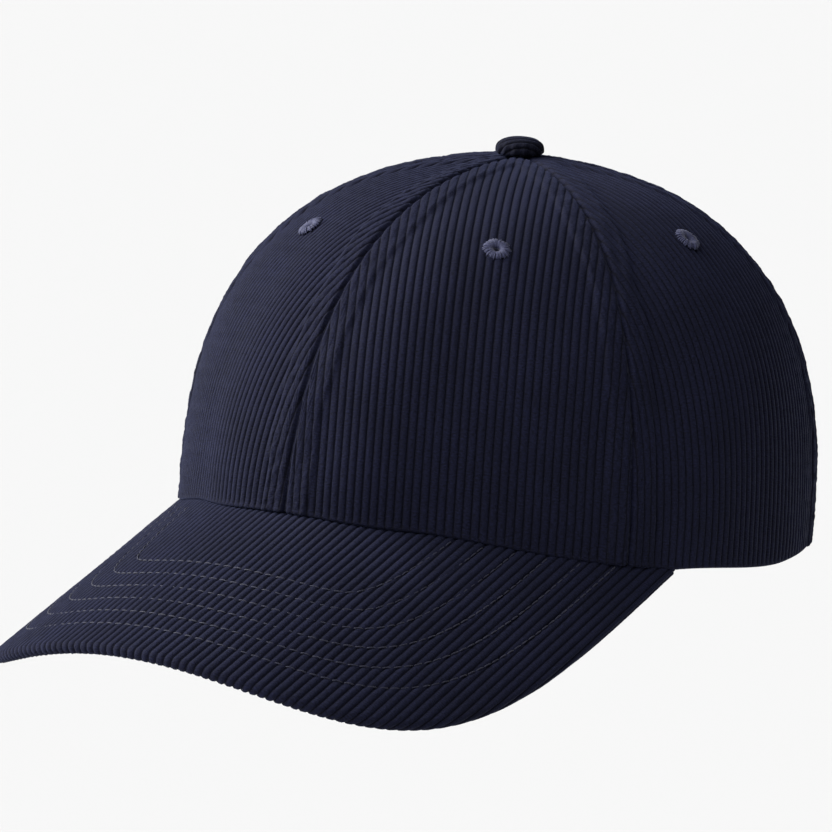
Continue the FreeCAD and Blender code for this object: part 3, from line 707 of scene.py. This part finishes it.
def eyelet(name, seed):
    """Worked eyelet: a padded ring under radial stitches on both faces of the cloth."""
    base, normal = eyelet_base(name)
    first, second = square_frame(normal)
    random = np.random.default_rng(seed)
    inner_face = 2.35 * MM if "front" in name else PANEL_THICK
    radial = np.array([0.95, 1.05, 1.5, 2.4, 3.2, 3.7, 3.85])
    rise = np.array([-0.75, -0.1, 0.38, 0.62, 0.42, 0.0, -0.35])
    paths, ups = [], []
    for face, level in ((1, 0.0), (-1, inner_face)):
        for i in range(EYELET_THREADS):
            turn = 2 * math.pi * (i + random.uniform(-0.2, 0.2)) / EYELET_THREADS
            lean = random.uniform(-0.05, 0.05)
            reach = 1 + (radial - 1) / 2.8 * random.uniform(-0.06, 0.07)
            angle = turn + lean * (radial - 1)
            spoke = first * np.cos(angle)[:, None] + second * np.sin(angle)[:, None]
            height = face * (rise + random.uniform(-0.05, 0.07)) * MM - (level if face < 0 else 0)
            path = base + spoke * (radial * reach * MM)[:, None] + normal * height[:, None]
            paths.append(path)
            ups.append(np.broadcast_to(normal * face, path.shape))
    radii = np.array([0.16, 0.21, 0.2, 0.24, 0.25, 0.22, 0.14]) * MM
    threads = tubes(name.replace("eyelet", "eyelet_thread"), np.array(paths), np.array(ups), radii,
                    finish("eyelet thread"))
    place(threads, "cap", "eyelet_thread")
    core_r = np.array([1.05, 1.0, 1.15, 1.6, 2.4, 3.2, 3.55, 2.0, 2.0, 3.55, 3.2, 2.4, 1.6, 1.15, 1.0])
    top = np.array([-0.9, -0.2, 0.05, 0.3, 0.45, 0.25, -0.1])
    level = inner_face / MM
    core_h = np.concatenate([top, [-0.15, -level + 0.15], -level - top[::-1][:-1]])
    turn = np.arange(56) * 2 * math.pi / 56
    spoke = first * np.cos(turn)[:, None] + second * np.sin(turn)[:, None]
    grid = base + spoke[:, None] * (core_r * MM)[None, :, None] + normal * (core_h * MM)[None, :, None]
    index = np.arange(grid.shape[0] * grid.shape[1]).reshape(grid.shape[:2])
    nxt, up = np.roll(index, -1, 0), np.roll(index, -1, 1)
    quads = np.stack([index, nxt, np.roll(nxt, -1, 1), up], -1).reshape(-1, 4)
    cloth = np.stack([grid[..., 0], grid[..., 2], grid[..., 1]], -1).reshape(-1, 3)
    core = make_object(name.replace("eyelet", "eyelet_core"), grid.reshape(-1, 3), [quads[:, ::-1]],
                       {"cloth": cloth}, finish("eyelet thread"))
    place(core, "cap", "eyelet_thread", name)


def eyelets():
    for number, word in enumerate(("front", "side", "back")):
        for side in ("left", "right"):
            eyelet(f"eyelet_{word}_{side}", 40 + number)


# ---------- button ----------

def button():
    """Cloth-covered button, its wales drawn round over the edge."""
    low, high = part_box("button_cover")
    radius = (high.x - low.x) / 2
    centre = np.array([(low.x + high.x) / 2, (low.y + high.y) / 2, low.z])
    tall = high.z - low.z
    foot = 1.1 * MM
    turn = np.linspace(0, 1, 46) * math.pi / 2
    r = radius * np.sin(turn) ** 0.82
    z = foot + (tall - foot) * np.cos(turn) ** 0.72
    tuck = np.linspace(0, 1, 9)[1:] * math.pi * 0.75
    r = np.concatenate([r, radius - foot * (1 - np.cos(tuck)) * 0.8])
    z = np.concatenate([z, foot - foot * np.sin(tuck) * 0.8])
    r[0] = 0.02 * MM
    run = np.concatenate([[0], np.cumsum(np.hypot(np.diff(r), np.diff(z)))])
    around = np.arange(200) * 2 * math.pi / 200
    lean = math.radians(38)
    across = run[None] * np.cos(around[:, None] - lean)
    along = run[None] * np.sin(around[:, None] - lean)
    across = across + 0.09 * along ** 2 / radius
    rib = rib_profile(across + 0.3 * WALE)
    edge = smooth(run, run[-1] - 2.0 * MM, run[-1])[None]
    pleat = 0.18 * MM * np.sin(around * 14)[:, None] * smooth(r, radius * 0.75, radius)[None]
    slope_r, slope_z = np.gradient(r, run), np.gradient(z, run)
    size = np.hypot(slope_r, slope_z)
    out_r, out_z = -slope_z / size, slope_r / size
    depth = 0.5 * MM * (1 - rib) * (1 - edge) + pleat * (1 - edge)

    def shell(cut):
        rr, zz = r[None] - out_r[None] * cut, z[None] - out_z[None] * cut
        return centre + np.stack([rr * np.sin(around)[:, None], -rr * np.cos(around)[:, None], zz], -1)

    outer, inner = shell(depth), shell(np.full_like(depth, 0.95 * MM))
    # The rib share is cut to 0.8, so the button's crests are painted darker: painted shade.
    attributes = {"rib": rib * 0.8, "cloth": cloth_place(across, along)}
    made = cloth_solid("cloth_button", outer, inner, attributes, finish("shaded button corduroy"), closed=True)
    place(made, "cap", "corduroy_navy", "button_cover")


# ---------- inside of the crown ----------

def below(angle, height, depth):
    """Point under the dome's outer face, with the dome's normal there."""
    point = surface_point(angle, height)
    normal = outward_normal(point.copy())
    return point - normal * np.asarray(depth)[..., None], normal


BAND_DEPTH = (5.2 * MM, 5.95 * MM)
BAND_LIFT = 0.6 * MM
BAND_HEIGHT = 32 * MM
BAND_ROLL = 0.37 * MM
BAND_RIPPLE, BAND_RIPPLE_SPACING = 0.45 * MM, 34 * MM
BAND_SEAM = 2.6 * MM


def arch_half_width(height):
    """Half the half-moon opening's width at a height."""
    share = np.clip((height - ARCH_STRAIGHT) / (ARCH_HEIGHT - ARCH_STRAIGHT), 0, 0.999)
    return ARCH_HALF_WIDTH * np.sqrt(1 - share ** 2)


def band_end(height, depth):
    """Angle at which a strip inside the rim stops beside the half-moon opening."""
    angle = np.full_like(height, 2.7)
    for _ in range(12):
        radius = section_radius(angle, height) - depth
        angle = math.pi - np.arcsin(arch_half_width(height) / radius)
    return angle


def along_rim(share, rise, trim=0.0, start=None):
    """Angle and height of places at a rise above the rim; share is -1 to 1 round to the back opening."""
    height = (rise if start is None else start) + 0 * share
    for _ in range(3):
        angle = share * (band_end(height, BAND_DEPTH[0]) - trim)
        height = rim_height(angle) + rise
    return angle, height


def band_ripple(around, run):
    """Slack waves of the sweatband, none near its seam at the rim."""
    return wave_noise(71, BAND_RIPPLE_SPACING, around, run) * BAND_RIPPLE * smooth(run, 3 * MM, 20 * MM)


def sweatband():
    """Twill band round the inside of the rim, folded over a soft core, with a bound upper edge."""
    share = np.linspace(-1, 1, 620)[:, None]
    low, high = np.linspace(0, 0.04, 6), np.linspace(0.94, 1, 8)
    run = np.concatenate([low, np.linspace(0.05, 0.93, 26), high])[None] * BAND_HEIGHT
    angle, height = along_rim(share, BAND_LIFT + run)
    run = run + 0 * share
    around = angle * HALF_WIDTH
    to_edge = np.minimum(np.minimum(BAND_HEIGHT - run, run), (1 - np.abs(share)) * 300 * MM)
    rolled = np.minimum(edge_roll(to_edge, BAND_ROLL), BAND_ROLL - 0.01 * MM)
    ripple = band_ripple(around, run)
    binding = 0.28 * MM * smooth(run, BAND_HEIGHT - 6.2 * MM, BAND_HEIGHT - 5.4 * MM)
    seam = 0.22 * MM * np.exp(-((run - BAND_SEAM) / (0.5 * MM)) ** 2)
    outer, _ = below(angle, height, BAND_DEPTH[1] + ripple + binding - seam - rolled)
    inner, _ = below(angle, height, BAND_DEPTH[0] + rolled)
    attributes = {"cloth": cloth_place(around, run)}
    made = cloth_solid("cloth_sweatband", outer, inner, attributes, finish("band twill"))
    place(made, "cap", "sweatband_twill", "sweatband")
    lines = []
    for level, lift in ((BAND_SEAM, -0.1 * MM), (BAND_HEIGHT - 1.6 * MM, 0.32 * MM),
                        (BAND_HEIGHT - 5.2 * MM, 0.3 * MM)):
        share = np.linspace(-1, 1, 900)
        angle, height = along_rim(share, BAND_LIFT + level, 0.02, level)
        ripple = band_ripple(angle * HALF_WIDTH, level + 0 * angle)
        point, normal = below(angle, height, BAND_DEPTH[1] + ripple + lift)
        lines.append((point, -normal))
    stitched("sweatband_stitches", lines, "cap", finish("navy thread"))


RIM_FOLD_LIFT, RIM_FOLD_THICK = 0.3 * MM, 0.5 * MM


def rim_fold():
    """Turned-in cloth between the panels and the sweatband, which closes the rim from below."""
    share = np.linspace(-1, 1, 620)[:, None]
    depth = np.linspace(1.45, 5.5, 9)[None] * MM + 0 * share
    angle, height = along_rim(share, RIM_FOLD_LIFT + 0 * depth)
    lower, _ = below(angle, height, depth)
    upper, _ = below(angle, height + RIM_FOLD_THICK, depth)
    attributes = {"cloth": cloth_place(angle * HALF_WIDTH, depth)}
    made = cloth_solid("rim_fold", lower, upper, attributes, finish("band twill"))
    place(made, "cap", "sweatband_twill")


SEAM_FOLD_HALF = 1.1 * MM
SEAM_FOLD_DEPTH = (0.85 * MM, 1.6 * MM)


def seam_folds():
    """Folded cloth at the bottom of every panel seam."""
    side = np.linspace(-SEAM_FOLD_HALF, SEAM_FOLD_HALF, 7)[:, None]
    for number, seam in enumerate(SEAMS):
        foot = max(float(rim_height(np.array(seam))), 0) + 0.4 * MM
        if seam == math.pi:
            foot = ARCH_HEIGHT + 1 * MM
        lift = np.linspace(lift_of(foot), lift_of(hole_height(seam)), 140)[None]
        height = height_of(lift) + 0 * side
        angle = seam + np.arcsin(np.clip(side / section_radius(seam + 0 * height, height), -0.95, 0.95))
        outer, _ = below(angle, height, SEAM_FOLD_DEPTH[0])
        inner, _ = below(angle, height, SEAM_FOLD_DEPTH[1])
        attributes = {"cloth": cloth_place(side, height)}
        made = cloth_solid(f"seam_fold_{number}", outer, inner, attributes, finish("plain cloth"))
        place(made, "cap", "corduroy_navy")


TAPE_STITCH_OFFSET, TAPE_STITCH_DEPTH = 5.5 * MM, 3.22 * MM


def tape_stitches():
    """Two rows of stitching down each seam tape, seen on the inside."""
    lines = []
    for seam in SEAMS:
        for side in (-1, 1):
            tall = CROWN_HEIGHT * np.sin(np.linspace(0.28, 1.32, 160))
            if seam == math.pi:
                tall = tall[tall > ARCH_HEIGHT + 4 * MM]
            lateral = side * TAPE_STITCH_OFFSET
            at = seam + np.arcsin(np.clip(lateral / section_radius(np.array(seam), tall), -0.9, 0.9))
            point, normal = below(at, tall, TAPE_STITCH_DEPTH)
            lines.append((point, -normal))
    stitched("seam_tape_stitches", lines, "cap", finish("navy thread"))


def hem_stitches():
    """Topstitching beside the half-moon opening."""
    turn = np.linspace(0, math.pi / 2, 120)
    wide, tall = ARCH_HALF_WIDTH + HEM_STITCH, ARCH_HEIGHT + HEM_STITCH
    x = np.concatenate([np.full(30, wide), wide * np.cos(turn)])
    z = np.concatenate([np.linspace(1.5 * MM, ARCH_STRAIGHT, 30),
                        ARCH_STRAIGHT + (tall - ARCH_STRAIGHT) * np.sin(turn)])
    keep = x > 1.2 * MM
    angle = np.full(keep.sum(), 3.0)
    for _ in range(12):
        angle = math.pi - np.arcsin(x[keep] / section_radius(angle, z[keep]))
    lines = []
    for side in (-1, 1):
        point, normal = below(side * angle, z[keep], 0.62 * MM)
        lines.append((point, normal))
    stitched("hem_stitches", lines, "cap", finish("navy thread"))


# ---------- closure ----------

STRAP_THICK = 1.2 * MM
STRAP_ROOT, STRAP_TIP = math.radians(35.0), math.radians(-27.0)
STRAP_GROOVE = 0.34 * MM
STRAP_STITCH = 2.3 * MM
STRAP_SKIN = 0.04 * MM
LEAST_REACH = 0.02 * MM


def strap_frame():
    """Axis, radius and height limits of the closure strap's arc, from its joint and its box."""
    joint = next(j for j in frame["joints"] if j["child"] == "strap")
    axis = np.array(joint["pos_m"], float)
    low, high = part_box("closure_strap")
    return axis, high.y - axis[1] - STRAP_THICK / 2, low.z, high.z


def arc_outward(angle):
    return np.stack([np.sin(angle), np.cos(angle), 0 * angle], -1)


def strap():
    """Self-cloth strap, wales along it, folded edges and a round tip."""
    axis, radius, low, high = strap_frame()
    half, middle = (high - low) / 2, (low + high) / 2
    length = (STRAP_ROOT - STRAP_TIP) * radius
    run = np.concatenate([half * (1 - np.cos(np.linspace(0.02, 1, 40) * math.pi / 2)),
                          np.linspace(half, length, 150)[1:]])
    width = np.where(run < half, np.sqrt(np.maximum(half ** 2 - (half - run) ** 2, 0)), half)
    share = np.sin(np.linspace(-1, 1, 84) * math.pi / 2 * 0.94) / math.sin(math.pi / 2 * 0.94)
    height = width[:, None] * share[None]
    edge = np.minimum((width[:, None] - np.abs(height)) * np.minimum(1, width / half)[:, None] ** 0.5,
                      (length - run)[:, None] + 1 * MM)
    roll = edge_roll(edge, STRAP_THICK / 2)
    stitch = 0.2 * MM * np.exp(-((edge - STRAP_STITCH) / (0.45 * MM)) ** 2)
    rib = rib_profile(height + 0.5 * WALE)
    out = arc_outward(STRAP_TIP + run[:, None] / radius + 0 * height)
    centre = axis + out * radius
    centre[..., 2] = middle + height
    groove = STRAP_GROOVE * (1 - rib) * smooth(edge, 0.2 * MM, 1.4 * MM)
    pile = wave_noise(5, 2.3 * MM, height * 1.7, run[:, None] + 0 * height) * STRAP_SKIN
    face = STRAP_THICK / 2 - roll - STRAP_SKIN
    outer = centre + out * np.maximum(face - groove - stitch - pile * rib, LEAST_REACH)[..., None]
    inner = centre - out * np.maximum(face - groove * 0.8, LEAST_REACH)[..., None]
    attributes = {"rib": rib, "cloth": cloth_place(height, run[:, None])}
    made = cloth_solid("cloth_closure_strap", outer, inner, attributes, finish("strap corduroy"))
    place(made, "strap", "corduroy_navy", "closure_strap")
    strap_stitches(axis, radius, half, middle, length)


def strap_stitches(axis, radius, half, middle, length):
    """One row of stitching round the strap's edge."""
    inset = half - STRAP_STITCH
    turn = np.linspace(0, math.pi, 60)
    tip = np.stack([half - inset * np.sin(turn), -inset * np.cos(turn)], -1)
    rows = np.concatenate([[(length - 2 * MM, -inset)], tip, [(length - 2 * MM, inset)]])
    fine = np.linspace(0, len(rows) - 1, 900)
    along, across = (np.interp(fine, np.arange(len(rows)), rows[:, k]) for k in (0, 1))
    out = arc_outward(STRAP_TIP + along / radius)
    points = axis + out * (radius + STRAP_THICK / 2 - 0.3 * MM)
    points[:, 2] = middle + across
    stitched("strap_stitches", [(points, out)], "strap", finish("navy thread"), radius=0.17 * MM)


# ---------- materials ----------

class Finish:
    """A material in the making, with short ways to add its nodes."""

    def __init__(self, name):
        self.material = bpy.data.materials.new(name)
        self.material.use_nodes = True
        self.nodes = self.material.node_tree.nodes
        self.links = self.material.node_tree.links
        self.shader = self.nodes["Principled BSDF"]

    def add(self, kind, inputs, **settings):
        node = self.nodes.new(kind)
        for key, value in settings.items():
            setattr(node, key, value)
        for key, value in inputs.items():
            self.put(node, key, value)
        return node

    def put(self, node, key, value):
        """Gives an input another node's output or a plain value."""
        if isinstance(value, bpy.types.NodeSocket):
            self.links.new(value, node.inputs[key])
        else:
            node.inputs[key].default_value = value

    def attribute(self, name, output="Fac"):
        return self.add("ShaderNodeAttribute", {}, attribute_name=name).outputs[output]

    def cloth(self):
        return self.attribute("cloth", "Vector")

    def object_place(self):
        return self.add("ShaderNodeTexCoord", {}).outputs["Object"]

    def mapping(self, place_at, **inputs):
        return self.add("ShaderNodeMapping", {"Vector": place_at, **inputs}).outputs["Vector"]

    def noise(self, place_at, scale, detail, roughness=0.5):
        inputs = {"Vector": place_at, "Scale": scale, "Detail": detail, "Roughness": roughness}
        return self.add("ShaderNodeTexNoise", inputs).outputs["Fac"]

    def between(self, value, low, high, start=0.0, end=1.0):
        """Value from start to end, moved to low to high."""
        inputs = {"Value": value, "From Min": start, "From Max": end, "To Min": low, "To Max": high}
        return self.add("ShaderNodeMapRange", inputs).outputs["Result"]

    def combine(self, operation, first, second):
        return self.add("ShaderNodeMath", {0: first, 1: second}, operation=operation).outputs[0]

    def colours(self, value, dark, light, start=0.0, end=1.0, middle=None):
        """Colour from dark to light; colours are sRGB from 0 to 255, middle a (place, colour)."""
        node = self.add("ShaderNodeValToRGB", {"Fac": value})
        ramp = node.color_ramp.elements
        ramp[0].position, ramp[1].position = start, end
        ramp[0].color, ramp[1].color = linear(dark), linear(light)
        if middle:
            ramp.new(middle[0]).color = linear(middle[1])
        return node.outputs["Color"]

    def done(self, colour, roughness, bump, **uniform):
        """Links the shader; bump is (height, strength, distance); other inputs are uniform values."""
        self.put(self.shader, "Base Color", colour)
        self.put(self.shader, "Roughness", roughness)
        height, strength, distance = bump
        node = self.add("ShaderNodeBump", {"Height": height, "Strength": strength, "Distance": distance})
        self.put(self.shader, "Normal", node.outputs["Normal"])
        for key, value in uniform.items():
            self.shader.inputs[key.replace("_", " ")].default_value = value
        return self.material


def linear(colour):
    """Linear colour of an sRGB colour given from 0 to 255, dimmed by a fourth number if there is one."""
    parts = np.array(colour[:3]) / 255
    values = np.where(parts < 0.04045, parts / 12.92, ((parts + 0.055) / 1.055) ** 2.4)
    share = colour[3] if len(colour) > 3 else 1.0
    return (*(values * share), 1.0)


def corduroy(name, share):
    """Navy corduroy: lighter pile on the ribs with painted shade in the grooves, short tufts, slow random
    shade changes, soft sheen.
    """
    make = Finish(name)
    cloth = make.cloth()
    tuft = make.noise(make.mapping(cloth, Scale=(0.5, 1.1, 1.0)), 2100.0, 2.0, 0.6)
    slow = make.noise(cloth, 55.0, 3.0, 0.55)
    # Colour by rib height: the grooves get a darker navy as painted shade, the crests the lighter pile
    # colour.
    pile = make.colours(make.attribute("rib"), (10, 11, 21, share), (19, 21, 40, share),
                        middle=(0.55, (16, 17, 33, share)))
    speckle = make.between(tuft, 0.42, 1.62, 0.3, 0.7)
    shade = make.between(slow, 0.85, 1.15, 0.3, 0.7)
    factor = make.combine("MULTIPLY", speckle, shade)
    face = make.add("ShaderNodeVectorMath", {0: pile, "Scale": factor}, operation="SCALE").outputs["Vector"]
    back = make.colours(make.noise(cloth, 1500.0, 1.0), (24, 26, 44), (40, 42, 66))
    both = make.add("ShaderNodeMix", {0: make.attribute("outside"), 6: back, 7: face}, data_type="RGBA")
    return make.done(both.outputs[2], make.between(tuft, 0.75, 0.98), (tuft, 0.7, 0.00035),
                     Specular_IOR_Level=0.12, Sheen_Weight=0.22, Sheen_Roughness=0.4,
                     Sheen_Tint=linear((100, 110, 156)))


def thread(name, dark, light, sheen):
    """Twisted thread: fine slanting plies, soft shine."""
    make = Finish(name)
    ply = make.noise(make.cloth(), 5200.0, 2.0)
    return make.done(make.colours(ply, dark, light, 0.35, 0.65), make.between(ply, 0.45, 0.75),
                     (ply, 0.4, 0.0001), Specular_IOR_Level=0.3, Sheen_Weight=sheen)


def woven(name, dark, light, scale, slant, rough, on_cloth=False, strength=0.5):
    """Woven cloth: two sets of fine lines crossed at a slant, with slow changes of shade."""
    make = Finish(name)
    place_at = make.cloth() if on_cloth else make.object_place()
    waves = []
    for angle in (slant, slant + 90):
        turned = make.mapping(place_at, Rotation=(0.5, 0.4, math.radians(angle)))
        inputs = {"Vector": turned, "Scale": scale, "Distortion": 0.6, "Detail": 1.0}
        waves.append(make.add("ShaderNodeTexWave", inputs).outputs["Fac"])
    both = make.combine("MULTIPLY", *waves)
    slow = make.noise(place_at, 90.0, 3.0)
    colour = make.colours(make.combine("ADD", both, slow), dark, light, 0.4, 1.0)
    return make.done(colour, make.between(slow, rough - 0.1, rough + 0.1), (both, strength, 0.00015),
                     Specular_IOR_Level=0.2, Sheen_Weight=0.1)


def loop_corduroy(name):
    """Corduroy of the folded loop, its ribs running round the cap, with painted shade in the grooves between
    them.
    """
    make = Finish(name)
    place_at = make.object_place()
    inputs = {"Vector": place_at, "Scale": 2 * math.pi / (20 * WALE)}
    ribs = make.add("ShaderNodeTexWave", inputs, bands_direction="Z").outputs["Fac"]
    both = make.combine("MULTIPLY", ribs, make.noise(place_at, 2300.0, 2.0))
    # The colour ramp darkens the grooves between the wave's ribs as painted shade, and the tufts at random.
    return make.done(make.colours(both, (9, 10, 17), (34, 36, 56)), 0.9, (both, 0.9, 0.0005),
                     Sheen_Weight=0.2)


def metal(name, dark, light, rough):
    """Brushed metal with fine scratches and a little tarnish."""
    make = Finish(name)
    place_at = make.object_place()
    brush = make.noise(make.mapping(place_at, Scale=(1.0, 1.0, 14.0)), 700.0, 3.0)
    tarnish = make.noise(place_at, 260.0, 4.0)
    return make.done(make.colours(tarnish, dark, light, 0.35, 0.65),
                     make.between(brush, rough - 0.1, rough + 0.12), (brush, 0.15, 0.00005), Metallic=1.0)


def plastic(name, dark, light):
    """Moulded plastic with a fine grain."""
    make = Finish(name)
    grain = make.noise(make.object_place(), 1400.0, 2.0)
    return make.done(make.colours(grain, dark, light), 0.5, (grain, 0.3, 0.0001))


FINISHES = {
    "corduroy": (corduroy, "corduroy_navy", 1.0),
    # The button's copy of the corduroy is painted at 0.6 of the cloth's colour: painted shade on the same
    # cloth.
    "shaded button corduroy": (corduroy, "corduroy_navy_button_painted_shade", 0.6),
    "strap corduroy": (corduroy, "corduroy_navy_strap", 1.0),
    "loop corduroy": (loop_corduroy, "corduroy_navy_loop"),
    "plain cloth": (woven, "corduroy_back", (16, 17, 30), (34, 36, 54), 380.0, 0, 0.9),
    "band twill": (woven, "sweatband_twill", (18, 20, 34), (40, 43, 66), 320.0, 45, 0.8, True),
    "tape twill": (woven, "seam_tape_twill", (20, 22, 36), (44, 47, 70), 420.0, 30, 0.8),
    "buckram": (woven, "buckram_white", (168, 166, 158), (214, 212, 205), 260.0, 0, 0.85, False, 0.8),
    "felt": (woven, "interlining_white", (190, 190, 186), (224, 224, 220), 500.0, 20, 0.9),
    "satin": (woven, "care_label_satin", (196, 197, 198), (226, 227, 228), 600.0, 5, 0.45, False, 0.2),
    "eyelet thread": (thread, "thread_eyelet", (38, 41, 68), (62, 65, 98), 0.15),
    "navy thread": (thread, "thread_navy", (21, 23, 40), (36, 38, 60), 0.1),
    "brass": (metal, "buckle_brass", (138, 112, 68), (166, 138, 86), 0.34),
    "steel": (metal, "button_steel", (128, 128, 130), (158, 158, 160), 0.38),
    "board": (plastic, "visor_board_plastic", (40, 41, 44), (60, 61, 66)),
}
CAD_FINISHES = {
    "buckram": ("front_buckram_left", "front_buckram_right"),
    "felt": ("sweatband_interlining",),
    "board": ("visor_board",),
    "plain cloth": ("visor_seam_allowance",),
    "steel": ("button_shell", "button_rivet", "button_washer"),
    "tape twill": ("back_facing", "seam_tape_centre", "seam_tape_front_left", "seam_tape_front_right",
                   "seam_tape_back_left", "seam_tape_back_right"),
    "brass": ("buckle_frame", "buckle_lever", "buckle_pin"),
    "loop corduroy": ("buckle_loop",),
    "satin": ("care_label",),
}
made_finishes = {}


def finish(kind):
    """Material of a kind in FINISHES, built the first time it is asked for."""
    if kind not in made_finishes:
        build, *values = FINISHES[kind]
        made_finishes[kind] = build(*values)
    return made_finishes[kind]


def cad_finishes():
    """Gives every CAD piece that stays its own material."""
    for kind, names in CAD_FINISHES.items():
        for name in names:
            piece = frame["nodes"][name]
            for slot in piece.material_slots:
                slot.material = finish(kind)
            if not piece.material_slots:
                piece.data.materials.append(finish(kind))


# ---------- camera, light, floor ----------

def camera():
    """Camera at the cap's left front, a little above the brim."""
    azimuth, elevation, roll = math.radians(32.48), math.radians(10.13), math.radians(1.63)
    back = Vector((math.sin(azimuth) * math.cos(elevation), -math.cos(azimuth) * math.cos(elevation),
                   math.sin(elevation)))
    right = Vector((math.cos(azimuth), math.sin(azimuth), 0))
    up = back.cross(right)
    turned_right = math.cos(roll) * right + math.sin(roll) * up
    turned_up = math.cos(roll) * up - math.sin(roll) * right
    aim = Vector((0, -21 * MM, 52.5 * MM)) - turned_right * 13.8 * MM - turned_up * 17.2 * MM
    place_at = aim + back * 1.7016
    data = bpy.data.cameras.new("camera")
    data.lens = 257.7
    data.sensor_width = 36
    data.clip_end = 50
    made = bpy.data.objects.new("camera", data)
    matrix = made.matrix_world.copy()
    for row in range(3):
        matrix[row][0], matrix[row][1], matrix[row][2] = turned_right[row], turned_up[row], back[row]
        matrix[row][3] = place_at[row]
    made.matrix_world = matrix
    bpy.context.scene.collection.objects.link(made)
    bpy.context.scene.camera = made


def sun(name, azimuth, elevation, strength, spread):
    """Wide soft light from a direction, azimuth from the front (-Y) towards +X, in degrees."""
    data = bpy.data.lights.new(name, "SUN")
    data.energy = strength
    data.angle = math.radians(spread)
    turn, lift = math.radians(azimuth), math.radians(elevation)
    source = Vector((math.sin(turn) * math.cos(lift), -math.cos(turn) * math.cos(lift), math.sin(lift)))
    made = bpy.data.objects.new(name, data)
    made.rotation_euler = (-source).to_track_quat("-Z", "Y").to_euler()
    bpy.context.scene.collection.objects.link(made)


FLOOR_DROP = 0.30
FLOOR_ALBEDO = 0.582
FLOOR_HALF = 12.0


def studio():
    """Bright plain room: a white surround, a pale floor below and wide soft lights."""
    world = bpy.data.worlds.new("room")
    world.use_nodes = True
    surround = world.node_tree.nodes["Background"].inputs
    surround["Color"].default_value = (1, 1, 1, 1)
    surround["Strength"].default_value = 0.07
    bpy.context.scene.world = world
    sun("key", -74, 30, 5.6, 45)
    sun("top", -20, 72, 1.3, 70)
    sun("fill", -14, 30, 1.6, 40)
    plain = Finish("floor_white")
    plain.put(plain.shader, "Base Color", (FLOOR_ALBEDO, FLOOR_ALBEDO, FLOOR_ALBEDO, 1))
    plain.put(plain.shader, "Roughness", 1.0)
    plain.put(plain.shader, "Specular IOR Level", 0)
    corners = np.array([(-1, -1, 0), (1, -1, 0), (1, 1, 0), (-1, 1, 0)], float) * FLOOR_HALF
    corners[:, 2] = CAD_BOX[0][2] - FLOOR_DROP
    floor = make_object("floor", corners, [np.array([[0, 1, 2, 3]])], {}, plain.material)
    bpy.context.scene.view_settings.view_transform = "Standard"


camera()
studio()
crown_panels()
seam_folds()
visor()
eyelets()
button()
sweatband()
rim_fold()
tape_stitches()
hem_stitches()
strap()
cad_finishes()
